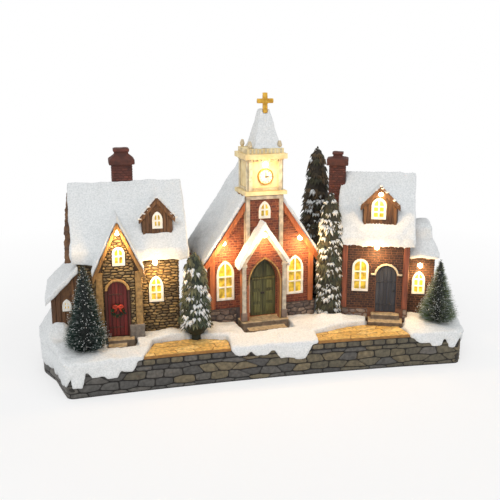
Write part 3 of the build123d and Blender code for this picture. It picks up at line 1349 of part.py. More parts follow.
# Slide switch: body on the plate, slider inside with a knob through the slot.
switch_middle_x = half_length - SWITCH_FROM_END
switch_middle_y = half_depth - SWITCH_FROM_BACK
switch_x = around(switch_middle_x, SWITCH_LENGTH / 2)
switch_y = around(switch_middle_y, SWITCH_WIDTH / 2)
switch_body = block(switch_x, switch_y, (PLATE_TOP, SWITCH_TOP))
slider_z = (PLATE_TOP + SLIDER_LIFT, PLATE_TOP + SLIDER_LIFT + SLIDER_HEIGHT)
track_x = around(switch_middle_x, (SLIDER_LENGTH + SWITCH_STROKE) / 2 + SLIDE_GAP)
track_y = around(switch_middle_y, SLIDER_WIDTH / 2 + SLIDE_GAP)
switch_body = switch_body - block(track_x, track_y, (PLATE_TOP, slider_z[1] + SLIDE_GAP))
rest_x = switch_middle_x - SWITCH_STROKE / 2
switch_slider = block(around(rest_x, SLIDER_LENGTH / 2), around(switch_middle_y, SLIDER_WIDTH / 2), slider_z)
switch_slider += block(
    around(rest_x, KNOB_LENGTH / 2), around(switch_middle_y, KNOB_WIDTH / 2), (KNOB_BOTTOM, slider_z[0])
)
slot_x = around(switch_middle_x, (KNOB_LENGTH + SWITCH_STROKE) / 2 + SLIDE_GAP)
slot_y = around(switch_middle_y, KNOB_WIDTH / 2 + SLIDE_GAP)
base_plate = base_plate - block(slot_x, slot_y, (PLATE_BOTTOM, PLATE_TOP))

# Timer board and harness.
board_middle_x = half_length - BOARD_FROM_END
board_middle_y = half_depth - BOARD_FROM_BACK
board_x = around(board_middle_x, BOARD_LENGTH / 2)
board_y = around(board_middle_y, BOARD_WIDTH / 2)
board_top = PLATE_TOP + BOARD_THICK
control_board = block(board_x, board_y, (PLATE_TOP, board_top))
control_board += block(
    around(board_middle_x, CHIP_LENGTH / 2),
    (board_y[1] - CHIP_WIDTH, board_y[1]),
    (board_top, board_top + CHIP_HEIGHT),
)


def route(start, end):
    bend = (end[0], start[1])
    level = around(WIRE_LEVEL, WIRE / 2)
    first = block(
        (min(start[0], bend[0]) - WIRE / 2, max(start[0], bend[0]) + WIRE / 2),
        around(start[1], WIRE / 2),
        level,
    )
    second = block(
        around(end[0], WIRE / 2),
        (min(start[1], end[1]) - WIRE / 2, max(start[1], end[1]) + WIRE / 2),
        level,
    )
    return first + second


harness = Part()
for i, middle in enumerate(drops):
    slot = (board_x[0] + SLOT_PITCH * (i + 1), board_y[0] + SLOT_PITCH)
    harness += route(middle, slot)
    harness += block(around(slot[0], WIRE / 2), around(slot[1], WIRE / 2), (board_top, WIRE_LEVEL))
for wire in wires:
    harness += wire
feed_y = board_middle_y
feed_z = around(board_top + WIRE, WIRE / 2)
harness += block((board_x[1] - SLOT_PITCH, switch_x[0]), around(feed_y, WIRE / 2), feed_z)
harness += block(
    around(board_x[1] - SLOT_PITCH, WIRE / 2), around(feed_y, WIRE / 2), (board_top, board_top + WIRE)
)
harness += block((switch_x[1], box_x[0]), around(feed_y, WIRE / 2), feed_z)

parts["base_casting"] = base_casting
parts["base_plate"] = base_plate
parts["base_plate_screws"] = screws
parts["foot_pads"] = pads
parts["battery_box"] = battery_box
parts["battery_cover"] = battery_cover
parts["battery_cells"] = cells
parts["battery_contacts"] = contacts
parts["switch_body"] = switch_body
parts["switch_slider"] = switch_slider
parts["control_board"] = control_board
parts["wire_harness"] = harness
parts["lamps"] = lamps
parts["paving"] = pavings
parts["ground_snow"] = ground_snow
parts["cottage_walls"] = cottage_walls
parts["cottage_roof"] = cottage_roof
parts["cottage_roof_snow"] = cottage_snow
parts["cottage_chimney"] = cottage_chimney
parts["cottage_dormer"] = cottage_dormer
parts["cottage_door"] = wing_door
parts["cottage_door_arch"] = door_arch
parts["door_wreath"] = wreath
parts["wreath_bow"] = bow
parts["cottage_posts"] = cottage_posts
parts["cottage_steps"] = cottage_steps
parts["cottage_annex"] = cottage_annex
parts["cottage_annex_roof"] = annex_roof
parts["church_walls"] = at_church(church_walls)
parts["church_plinth"] = at_church(church_plinth)
parts["church_corner_posts"] = [at_church(shape) for shape in corner_posts]
parts["church_roof"] = at_church(church_roof)
parts["church_roof_snow"] = at_church(church_snow)
parts["church_tower"] = at_church(church_tower)
parts["church_belfry"] = at_church(belfry)
parts["clock_face"] = at_church(clock_face)
parts["clock_hands"] = at_church(clock_hands)
parts["belfry_finials"] = [at_church(shape) for shape in finials]
parts["church_spire"] = at_church(spire)
parts["spire_cross"] = at_church(spire_cross)
parts["church_porch"] = at_church(church_porch)
parts["church_porch_snow"] = at_church(porch_snow)
parts["church_door"] = at_church(church_door)
parts["church_steps"] = at_church(church_steps)
parts["townhouse_walls"] = at_town(town_walls + town_plinth)
parts["townhouse_posts"] = [at_town(shape) for shape in town_posts]
parts["townhouse_roof"] = at_town(town_roof)
parts["townhouse_roof_snow"] = at_town(town_snow)
parts["townhouse_chimney"] = at_town(town_chimney)
parts["townhouse_dormer"] = at_town(town_dormer)
parts["townhouse_door"] = at_town(town_door)
parts["townhouse_door_hood"] = at_town(door_hood)
parts["townhouse_steps"] = at_town(town_steps)
parts["townhouse_annex"] = at_town(town_annex)
parts["townhouse_annex_snow"] = at_town(annex_snow)
parts["window_frames"] = frames
parts["window_panes"] = panes
parts["fir_trees"] = firs
parts["brush_trees"] = brushes
parts["brush_tree_stems"] = stems

os.makedirs("parts", exist_ok=True)
for name, shape in parts.items():
    solids = []
    for piece in shape if isinstance(shape, list) else [shape]:
        solids += piece.solids()
    whole = solids[0] if len(solids) == 1 else Compound(children=solids)
    whole.label = name
    export_step(whole, "parts/" + name + ".step")
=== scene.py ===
import bisect
import math
import random
from collections import namedtuple
from functools import partial

import bmesh
import bpy
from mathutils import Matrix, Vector, noise
from mathutils.bvhtree import BVHTree


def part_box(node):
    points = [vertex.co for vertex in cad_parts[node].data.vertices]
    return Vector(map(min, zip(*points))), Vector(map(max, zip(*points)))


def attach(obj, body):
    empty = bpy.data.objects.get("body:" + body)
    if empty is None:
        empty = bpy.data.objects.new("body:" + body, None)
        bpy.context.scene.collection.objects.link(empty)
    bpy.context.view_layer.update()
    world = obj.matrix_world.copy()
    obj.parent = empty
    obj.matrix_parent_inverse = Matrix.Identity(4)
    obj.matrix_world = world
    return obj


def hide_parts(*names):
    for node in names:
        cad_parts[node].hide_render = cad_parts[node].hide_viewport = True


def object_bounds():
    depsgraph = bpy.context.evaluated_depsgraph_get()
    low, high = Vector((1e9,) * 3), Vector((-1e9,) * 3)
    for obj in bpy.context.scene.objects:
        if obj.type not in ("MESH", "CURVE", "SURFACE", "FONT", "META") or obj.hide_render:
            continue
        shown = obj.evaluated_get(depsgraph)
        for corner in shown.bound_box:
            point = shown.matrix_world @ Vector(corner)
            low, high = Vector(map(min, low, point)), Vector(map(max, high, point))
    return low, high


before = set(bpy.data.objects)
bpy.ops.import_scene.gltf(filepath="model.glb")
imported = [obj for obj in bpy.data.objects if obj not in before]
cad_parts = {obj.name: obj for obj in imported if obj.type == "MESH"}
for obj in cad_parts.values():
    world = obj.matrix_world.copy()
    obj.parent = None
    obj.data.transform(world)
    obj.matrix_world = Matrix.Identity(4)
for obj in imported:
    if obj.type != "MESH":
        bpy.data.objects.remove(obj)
cad_low, cad_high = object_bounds()

# Lengths are in millimetres here and become metres when a mesh is made.
MM = 0.001
VILLAGE = "village"

# Buildings: place and turn of each one's own frame, as in the CAD source
COTTAGE = ((0.0, 0.0), 0.0)
CHURCH = ((3.0, -4.0), 5.0)
TOWN = ((61.3, -8.7), -21.0)

# Raised cells: how deep they sit in the wall, their colour at the foot (dark joint and painted shade), rim
# (painted shade) and crown (painted highlight), and the most that a bevel takes
SINK = 0.25
JOINT_DARK_AND_PAINTED_SHADE = 0.42
RIM_PAINTED_SHADE = 0.86
CROWN_PAINTED_HIGHLIGHT = 1.06
BEVEL_LIMIT = 0.35
LEAF_UNDER_SHADE = 0.6
# Least area, edge and shrinking of a cell, and least count of points of a loose part
LEAST_AREA = 0.5
LEAST_EDGE = 0.02
LEAST_SHRINK = 0.2
LEAST_PART = 60
TINY = 1e-6
# Arches, and the room left round windows and lamps
ARCH_STEPS = 8
POINT_RISE_SHARE = 1.55
TRIM = 1.4
LAMP_HOLE = 2.4


def linear(value):
    return value / 12.92 if value <= 0.04045 else ((value + 0.055) / 1.055) ** 2.4


def paint(red, green, blue):
    """A linear colour from the 0 to 255 values of a paint."""
    return tuple(linear(value / 255) for value in (red, green, blue))


def palette(*paints):
    return [paint(*values) for values in paints]


def shaded(colour, by):
    return tuple(c * by for c in colour)


# Paints
GREY_DARK = paint(190, 190, 190)
GREY_LIGHT = paint(252, 252, 252)
STONES = palette(
    (160, 132, 82), (138, 112, 70), (118, 100, 68), (174, 146, 96), (104, 86, 58), (148, 126, 88))
CHURCH_BRICKS = palette((138, 68, 45), (123, 59, 40), (151, 78, 49), (110, 51, 37))
TOWN_BRICKS = palette((70, 43, 28), (61, 36, 25), (82, 51, 33), (54, 32, 23))
CHIMNEY_BRICKS = palette((106, 54, 42), (93, 46, 36), (118, 61, 47))
BASE_STONES = palette((94, 91, 87), (85, 83, 80), (103, 99, 93), (79, 77, 75))
# Painted light: these brown stones are also lighter than the grey ones, for the lit right end of the wall
BASE_STONES_BROWN_AND_PAINTED_LIGHT = palette((112, 102, 80), (102, 95, 78), (120, 108, 84), (94, 88, 74))
PLINTH_STONES = palette((136, 116, 104), (122, 105, 96), (148, 128, 113), (108, 93, 86))
PAVING_STONES = palette((246, 204, 122), (238, 193, 109), (252, 212, 134), (230, 184, 102))
OCHRE_BOARDS = palette((166, 124, 68), (150, 110, 60), (178, 137, 80))
BROWN_BOARDS = palette((110, 74, 44), (95, 63, 38), (124, 86, 52))
ORANGE_BOARDS = palette((186, 104, 58), (172, 93, 52))
CREAM_BOARDS = palette((210, 197, 176), (199, 186, 167))
BELFRY_BOARDS = palette((244, 230, 196), (234, 216, 176))
RED_BOARDS = palette((118, 31, 27), (104, 26, 23), (127, 37, 29))
GREEN_BOARDS = palette((108, 110, 66), (92, 94, 57))
BLUE_BOARDS = palette((61, 63, 70), (54, 56, 63), (68, 70, 76))
WREATH_GREENS = palette((34, 62, 30), (46, 78, 38), (26, 50, 28), (58, 86, 44))
IRON = paint(46, 42, 40)
JAMB_RED = paint(92, 44, 32)
BERRY_RED = paint(176, 30, 24)
BOW_RED = paint(214, 66, 36)
FLOCK = paint(236, 240, 240)
# Painted light and shade: the steps are lighter on faces that look up and darker on their sides
STEP_SIDE_PAINTED_SHADE = paint(116, 98, 80)
STEP_TOP_PAINTED_LIGHT = paint(196, 172, 134)
POST_STONE = paint(128, 118, 108)
POST_OCHRE = paint(176, 138, 82)
# Painted shade: the bristle roots and the core inside the brush trees are near black
BRISTLE_ROOT_PAINTED_SHADE = paint(8, 24, 20)
BRISTLE_BLUE = paint(34, 70, 60)
BRISTLE_YELLOW = paint(116, 136, 80)
BRISTLE_PALE = paint(206, 218, 212)
BRUSH_CORE_PAINTED_SHADE = paint(6, 17, 14)


# Materials: where the two colours begin, how far the gloss varies, and the depth of the grain in metres
SPREAD = (0.35, 0.65)
GLOSS_VARIES = 0.12
GRAIN_DEPTH = 0.0004


def feed(tree, node, inputs):
    """Sets inputs of a node, each to a value or to the output that feeds it."""
    for name, value in inputs.items():
        if isinstance(value, bpy.types.NodeSocket):
            tree.links.new(value, node.inputs[name])
        else:
            node.inputs[name].default_value = value


def add_node(tree, kind, inputs, **settings):
    made = tree.nodes.new("ShaderNode" + kind)
    for name, value in settings.items():
        setattr(made, name, value)
    feed(tree, made, inputs)
    return made


def surface(name, dark, light, grain=300.0, stretch=(1, 1, 1), rough=0.6, bump=0.25, fine=5.0,
            tinted=False, metal=0.0, glow=0.0):
    """A paint that varies between two colours, with a fine grain in its bump."""
    material = bpy.data.materials.new(name)
    material.use_nodes = True
    tree = material.node_tree
    scale = [grain * share for share in stretch]
    place = add_node(tree, "TexCoord", {}).outputs["Object"]
    place = add_node(tree, "Mapping", {"Vector": place, "Scale": scale}).outputs["Vector"]
    coarse = add_node(tree, "TexNoise", {"Vector": place, "Scale": 1.0, "Detail": 5.0}).outputs["Fac"]
    ramp = add_node(tree, "ValToRGB", {"Fac": coarse})
    for element, position, colour in zip(ramp.color_ramp.elements, SPREAD, (dark, light)):
        element.position = position
        element.color = (*colour, 1)
    colour = ramp.outputs["Color"]
    if tinted:
        own = add_node(tree, "Attribute", {}, attribute_name="tint").outputs["Color"]
        mixed = add_node(tree, "Mix", {0: 1.0, 6: own, 7: colour}, data_type="RGBA", blend_type="MULTIPLY")
        colour = mixed.outputs[2]
    low, high = max(0.05, rough - GLOSS_VARIES), min(1.0, rough + GLOSS_VARIES)
    gloss = add_node(tree, "MapRange", {"Value": coarse, "To Min": low, "To Max": high})
    small = add_node(tree, "TexNoise", {"Vector": place, "Scale": fine, "Detail": 3.0}).outputs["Fac"]
    relief = add_node(tree, "Bump", {"Height": small, "Strength": bump, "Distance": GRAIN_DEPTH})
    shader = tree.nodes["Principled BSDF"]
    feed(tree, shader, {"Base Color": colour, "Roughness": gloss.outputs["Result"]})
    feed(tree, shader, {"Normal": relief.outputs["Normal"], "Metallic": metal})
    if glow:
        feed(tree, shader, {"Emission Color": colour, "Emission Strength": glow})
    return material


UPRIGHT = (3, 3, 0.25)
snow = surface("snow", paint(210, 214, 215), paint(232, 234, 235), 1000, rough=0.78, bump=0.6, fine=2.0)
painted_relief = surface("painted_relief", GREY_DARK, GREY_LIGHT, 420, rough=0.62, bump=0.35, tinted=True)
painted_smooth = surface("painted_smooth", GREY_DARK, GREY_LIGHT, 240, rough=0.5, bump=0.12, tinted=True)
tree_paint = surface("tree_paint", GREY_DARK, GREY_LIGHT, 300, rough=0.7, bump=0.1, tinted=True)
wood_grain = surface(
    "wood_grain", paint(170, 165, 160), GREY_LIGHT, 260, (4, 4, 0.3), 0.6, 0.5, 2.0, tinted=True)
cottage_joint = surface("cottage_joint", paint(48, 36, 24), paint(74, 56, 38), rough=0.8)
church_joint = surface("church_joint", paint(140, 84, 58), paint(168, 106, 74), rough=0.8)
town_joint = surface("town_joint", paint(100, 64, 46), paint(124, 82, 58), rough=0.8)
chimney_joint = surface("chimney_joint", paint(70, 38, 30), paint(94, 52, 41), rough=0.8)
base_joint = surface("base_joint", paint(34, 32, 30), paint(50, 47, 44), 200, rough=0.85)
paving_joint = surface("paving_joint", paint(134, 94, 46), paint(160, 116, 62), rough=0.8)
plinth_joint = surface("plinth_joint", paint(66, 58, 58), paint(92, 82, 80), rough=0.85)
timber_brown = surface("timber_brown", paint(72, 46, 28), paint(118, 82, 48), 240, rough=0.65, bump=0.4)
timber_ochre = surface("timber_ochre", paint(150, 110, 58), paint(196, 154, 92), 300, UPRIGHT, 0.6, 0.5, 2.0)
timber_orange = surface("timber_orange", paint(150, 80, 46), paint(188, 110, 62), 300, UPRIGHT, 0.6, 0.4, 2.0)
timber_town = surface("timber_town", paint(98, 50, 34), paint(146, 80, 54), 300, UPRIGHT, 0.6, 0.4, 2.0)
cream = surface("cream", paint(186, 168, 136), paint(220, 204, 172), 200)
belfry_cream = surface("belfry_cream", paint(224, 198, 142), paint(246, 228, 178), 160, bump=0.2)
frame_white = surface("frame_white", paint(228, 222, 206), paint(247, 244, 235), 260, rough=0.5, bump=0.1)
# Painted light: the yellow window paint glows a little, though no lamp stands behind the panes
pane_glow = surface(
    "pane_glow", paint(150, 124, 22), paint(236, 200, 66), 260, rough=0.35, bump=0.1, glow=0.3)
lamp_glow = surface("lamp_glow", (1.0, 0.74, 0.40), (1.0, 0.82, 0.54), 200, rough=0.2, bump=0.0, glow=30.0)
gold = surface("gold", paint(176, 128, 40), paint(226, 180, 74), rough=0.4, bump=0.15, metal=0.6)
door_red = surface("door_red", paint(70, 16, 14), paint(92, 22, 18), 300, UPRIGHT, 0.5, 0.3)
door_green = surface("door_green", paint(48, 50, 30), paint(66, 68, 40), 300, UPRIGHT, 0.5, 0.3)
door_blue = surface("door_blue", paint(44, 48, 60), paint(62, 66, 80), 300, UPRIGHT, 0.5, 0.3)
black_plastic = surface(
    "black_plastic", paint(30, 30, 31), paint(44, 44, 45), 500, rough=0.55, bump=0.15, fine=9.0)
switch_plastic = surface(
    "switch_plastic", paint(196, 196, 192), paint(214, 214, 210), 500, rough=0.45, bump=0.1)
soft_rubber = surface("soft_rubber", paint(38, 38, 40), paint(58, 58, 60), 600, rough=0.9, bump=0.3)
steel = surface("steel", paint(150, 152, 156), paint(196, 198, 202), 500, (1, 6, 1), 0.35, 0.2, metal=0.9)
cell_jacket = surface("cell_jacket", paint(30, 66, 96), paint(44, 84, 116), 300, (0.3, 3, 3), 0.35, 0.05)
board_green = surface("board_green", paint(22, 74, 44), paint(34, 96, 58), 500, rough=0.45, bump=0.1)
wire_jacket = surface("wire_jacket", paint(150, 30, 26), paint(176, 42, 36), 400, rough=0.5, bump=0.05)


def building_point(building, u, v):
    (x, y), turn = building
    angle = math.radians(turn)
    return (x + u * math.cos(angle) - v * math.sin(angle), y + u * math.sin(angle) + v * math.cos(angle))


def wall(building, start, end):
    """Maps along, up and out on an upright wall to a point; the outside is right of start to end."""
    x0, y0 = building_point(building, *start)
    x1, y1 = building_point(building, *end)
    length = math.hypot(x1 - x0, y1 - y0)
    dx = (x1 - x0) / length
    dy = (y1 - y0) / length
    return lambda along, up, out: (x0 + dx * along + dy * out, y0 + dy * along - dx * out, up)


def span(start, end):
    return math.hypot(end[0] - start[0], end[1] - start[1])


def pairs(loop):
    """Each point of a closed loop with the next one."""
    return zip(loop, loop[1:] + loop[:1])


def clip(polygon, normal, reach):
    """What is left of a convex polygon on the inner side of a line."""
    kept = []
    for (a, b), (c, d) in pairs(polygon):
        first = a * normal[0] + b * normal[1] - reach
        last = c * normal[0] + d * normal[1] - reach
        if first <= 0:
            kept.append((a, b))
        if first * last < 0:
            share = first / (first - last)
            kept.append((a + (c - a) * share, b + (d - b) * share))
    return kept


def sides(outline):
    """The outward normal of each side of an outline, and how far along it the side lies."""
    for (a, b), (c, d) in pairs(outline):
        length = math.hypot(c - a, d - b)
        if length > TINY:
            normal = ((d - b) / length, (a - c) / length)
            yield normal, normal[0] * a + normal[1] * b


def area(polygon):
    total = 0
    for (a, b), (c, d) in pairs(polygon):
        total += a * d - b * c
    return abs(total) / 2


def without(polygon, hole):
    """The largest part of a polygon on one outer side of a convex hole."""
    best = []
    for normal, reach in sides(hole):
        rest = clip(polygon, (-normal[0], -normal[1]), -reach)
        if rest and area(rest) > (area(best) if best else 0):
            best = rest
    return best


def fitted(cells, outline, holes=()):
    """The cells cut to an outline and clear of holes, without those that are too small."""
    kept = []
    for polygon in cells:
        for normal, reach in sides(outline):
            if polygon:
                polygon = clip(polygon, normal, reach)
        for hole in holes:
            if polygon:
                polygon = without(polygon, hole)
        polygon = [p for p, q in pairs(polygon) if span(p, q) > LEAST_EDGE]
        if len(polygon) > 2 and area(polygon) > LEAST_AREA:
            kept.append(polygon)
    return kept


def limits(outline):
    return (
        min(a for a, _ in outline), max(a for a, _ in outline),
        min(b for _, b in outline), max(b for _, b in outline),
    )


def shrunk(polygon, by):
    low_a, high_a, low_b, high_b = limits(polygon)
    middle_a = (low_a + high_a) / 2
    middle_b = (low_b + high_b) / 2
    share_a = max(LEAST_SHRINK, 1 - 2 * by / max(high_a - low_a, TINY))
    share_b = max(LEAST_SHRINK, 1 - 2 * by / max(high_b - low_b, TINY))
    return [(middle_a + (a - middle_a) * share_a, middle_b + (b - middle_b) * share_b) for a, b in polygon]


def rounded(polygon, cut):
    points = []
    for (a, b), (c, d) in pairs(polygon):
        points.append((a + (c - a) * cut, b + (d - b) * cut))
        points.append((c + (a - c) * cut, d + (b - d) * cut))
    return points


def bricks(outline, rng, size, joint):
    long, high = size
    low_a, high_a, low_b, high_b = limits(outline)
    cells = []
    row = 0
    level = low_b
    while level < high_b:
        along = low_a - long * (0.5 if row % 2 else 0.0) + rng.uniform(-0.2, 0.2)
        while along < high_a:
            length = long * rng.uniform(0.9, 1.1)
            cells.append(box_outline(along, along + length, level, level + high))
            along += length + joint
        level += high + joint
        row += 1
    return cells


def rubble(outline, rng, step, jitter=0.4, level=1.0):
    """Irregular stones: the cells round seeds that are shaken off a staggered grid.

    A higher level makes the stones lie in plainer courses.
    """
    low_a, high_a, low_b, high_b = limits(outline)
    columns = math.ceil((high_a - low_a) / step[0]) + 3
    rows = math.ceil((high_b - low_b) / step[1]) + 3
    seeds = {}
    for r in range(rows):
        for c in range(columns):
            stagger = 0.5 if r % 2 else 0.0
            seeds[r, c] = (
                c - 1 + stagger + rng.uniform(-jitter, jitter),
                (r - 1 + rng.uniform(-jitter, jitter) * 0.8) * level)
    cells = []
    near = [(i, j) for i in range(-2, 3) for j in range(-2, 3) if (i, j) != (0, 0)]
    for (r, c), (x, y) in seeds.items():
        polygon = box_outline(x - 1.5, x + 1.5, y - 1.5 * level, y + 1.5 * level)
        for i, j in near:
            other = seeds.get((r + i, c + j))
            if other and polygon:
                normal = (other[0] - x, other[1] - y)
                reach = (other[0] ** 2 + other[1] ** 2 - x ** 2 - y ** 2) / 2
                polygon = clip(polygon, normal, reach)
        if len(polygon) > 2:
            cells.append([(low_a + a * step[0], low_b + b / level * step[1]) for a, b in polygon])
    return cells


def planks(outline, rng, width, gap):
    low_a, high_a, low_b, high_b = limits(outline)
    cells = []
    at = low_a
    while at < high_a:
        wide = width * rng.uniform(0.85, 1.15)
        cells.append(box_outline(at, at + wide, low_b, high_b))
        at += wide + gap
    return cells


def box_outline(low_a, high_a, low_b, high_b):
    return [(low_a, low_b), (high_a, low_b), (high_a, high_b), (low_a, high_b)]


def gable_outline(length, foot, eave, ridge, margin=0.0, cut=0.0):
    rise = (ridge - eave) / (length / 2) * margin
    return [
        (margin, foot), (length - margin, foot), (length - margin, eave + rise - cut),
        (length / 2, ridge - cut), (margin, eave + rise - cut),
    ]


def arch(middle, sill, width, height, kind, grow=0.0):
    half = width / 2 + grow
    top = sill + height + grow
    points = [(middle - half, sill - grow), (middle + half, sill - grow)]
    if kind == "round":
        for i in range(ARCH_STEPS + 1):
            angle = math.pi * i / ARCH_STEPS
            points.append((middle + half * math.cos(angle), top - half + half * math.sin(angle)))
        return points
    rise = half * POINT_RISE_SHARE
    radius = (half * half + rise * rise) / (2 * half)
    sweep = math.asin(rise / radius)
    right = []
    for i in range(ARCH_STEPS):
        angle = sweep * i / ARCH_STEPS
        right.append((half - radius + radius * math.cos(angle), top - rise + radius * math.sin(angle)))
    points += [(middle + a, b) for a, b in right]
    points.append((middle, top))
    points += [(middle - a, b) for a, b in reversed(right)]
    return points


def disc(middle, level, radius=LAMP_HOLE, count=10):
    step = 2 * math.pi / count
    return [(middle + radius * math.cos(step * i), level + radius * math.sin(step * i)) for i in range(count)]


class Shape:
    """Points, faces and point colours of one piece."""

    def __init__(self, seed=1):
        self.points = []
        self.faces = []
        self.colours = []
        self.rng = random.Random(seed)

    def add(self, points, faces, colours):
        first = len(self.points)
        self.points += [tuple(p) for p in points]
        self.faces += [[first + i for i in face] for face in faces]
        self.colours += colours

    def tube(self, rings, colours, crown=None):
        """A closed skin over rings with as many points, flat at its end or drawn up to a crown point."""
        count = len(rings[0])
        last = count * (len(rings) - 1)
        steps = [(i, (i + 1) % count) for i in range(count)]
        points = [point for ring in rings for point in ring]
        faces = [list(range(count - 1, -1, -1))]
        for low in range(0, last, count):
            faces += [[low + i, low + j, low + count + j, low + count + i] for i, j in steps]
        if crown:
            points.append(crown)
            faces += [[last + i, last + j, last + count] for i, j in steps]
        else:
            faces.append(list(range(last, last + count)))
        self.add(points, faces, colours)

    def cell(self, place, polygon, proud, bevel, colour, crown=0.0):
        """A closed raised cell with a soft edge on a wall."""
        low_a, high_a, low_b, high_b = limits(polygon)
        bevel = min(bevel, (high_a - low_a) * BEVEL_LIMIT, (high_b - low_b) * BEVEL_LIMIT)
        rings = []
        colours = []
        # Painted shade: each cell darkens from its top over its rim to its sunk foot, where it also takes the
        # dark of the joint; a painted highlight lightens its crown
        heights = ((0, -SINK, JOINT_DARK_AND_PAINTED_SHADE), (bevel * 0.4, proud * 0.8, RIM_PAINTED_SHADE), (bevel, proud, 1))
        for inset, out, shade in heights:
            ring = shrunk(polygon, inset) if inset else polygon
            rings.append([place(a, b, out) for a, b in ring])
            colours += [shaded(colour, shade)] * len(polygon)
        top = None
        if crown:
            top = place((low_a + high_a) / 2, (low_b + high_b) / 2, proud + crown)
            colours.append(shaded(colour, CROWN_PAINTED_HIGHLIGHT))
        self.tube(rings, colours, top)

    def cells(self, place, polygons, proud, bevel, paints, crown=0.0, vary=0.12, joint=0.0, soft=0.0):
        for polygon in polygons:
            if joint:
                polygon = shrunk(polygon, joint / 2)
            if soft:
                polygon = rounded(polygon, soft)
            tone = self.rng.uniform(1 - vary, 1 + vary)
            colour = shaded(self.rng.choice(paints), tone)
            self.cell(place, polygon, proud * self.rng.uniform(0.75, 1.15), bevel, colour, crown)

    def spike(self, root, tip, width, root_colour, tip_colour):
        """A closed three-sided needle."""
        axis = tip - root
        side = axis.orthogonal().normalized() * width
        other = axis.cross(side).normalized() * width
        ring = [root + side, root - side * 0.5 + other * 0.87, root - side * 0.5 - other * 0.87]
        faces = [[2, 1, 0], [0, 1, 3], [1, 2, 3], [2, 0, 3]]
        self.add([*ring, tip], faces, [root_colour] * 3 + [tip_colour])

    def leaf(self, root, tip, up, width, thick, colour, tip_colour, bend=0.0):
        """A closed pointed leaf, widest before its middle."""
        axis = tip - root
        side = axis.cross(up).normalized()
        top = side.cross(axis).normalized()
        middle = root + axis * 0.45 + top * bend
        points = [root, middle + side * width, tip, middle - side * width]
        points += [middle + top * thick, middle - top * thick]
        faces = [[0, 1, 4], [1, 2, 4], [2, 3, 4], [3, 0, 4], [1, 0, 5], [2, 1, 5], [3, 2, 5], [0, 3, 5]]
        under = shaded(colour, LEAF_UNDER_SHADE)
        self.add(points, faces, [colour, colour, tip_colour, colour, colour, under])

    def blob(self, middle, axes, colour, rough=0.18):
        """A closed lump whose three axes are given."""
        points = []
        for unit in BALL_POINTS:
            swell = 1 + rough * self.rng.uniform(-1, 1)
            points.append(middle + (axes[0] * unit[0] + axes[1] * unit[1] + axes[2] * unit[2]) * swell)
        self.add(points, BALL_FACES, [colour] * len(points))

    def lathe(self, place, middle, level, profile, count, colour):
        """A turned shape on a wall, from pairs of radius and reach out of the wall."""
        rings = [[place(a, b, out) for a, b in disc(middle, level, radius, count)] for radius, out in profile]
        self.tube(rings, [colour] * count * len(profile))

    def piece(self, name, material, slot, *replaced, smooth=False, body=VILLAGE):
        mesh = bpy.data.meshes.new(name)
        mesh.from_pydata([(x * MM, y * MM, z * MM) for x, y, z in self.points], [], self.faces)
        tint(mesh, self.colours)
        mesh.polygons.foreach_set("use_smooth", [smooth] * len(mesh.polygons))
        return shown(name, mesh, material, replaced, body)


def tint(mesh, colours):
    layer = mesh.color_attributes.new("tint", "FLOAT_COLOR", "POINT")
    layer.data.foreach_set("color", [c for colour in colours for c in (*colour, 1.0)])


def shown(name, mesh, material, replaced, body=VILLAGE):
    mesh.update()
    mesh.materials.clear()
    mesh.materials.append(material)
    made = bpy.data.objects.new(name, mesh)
    bpy.context.scene.collection.objects.link(made)
    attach(made, body)
    if replaced:
        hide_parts(*replaced)
    return made


def ball():
    work = bmesh.new()
    bmesh.ops.create_icosphere(work, subdivisions=2, radius=1.0)
    points = [tuple(v.co) for v in work.verts]
    faces = [[v.index for v in f.verts] for f in work.faces]
    work.free()
    return points, faces


BALL_POINTS, BALL_FACES = ball()


def without_specks(mesh):
    """Deletes the crumbs that remeshing leaves where a thin gap closes."""
    work = bmesh.new()
    work.from_mesh(mesh)
    seen = set()
    specks = []
    for start in work.verts:
        if start in seen:
            continue
        seen.add(start)
        group = [start]
        for vertex in group:
            for edge in vertex.link_edges:
                other = edge.other_vert(vertex)
                if other not in seen:
                    seen.add(other)
                    group.append(other)
        if len(group) < LEAST_PART:
            specks += group
    bmesh.ops.delete(work, geom=specks, context="VERTS")
    work.to_mesh(mesh)
    work.free()


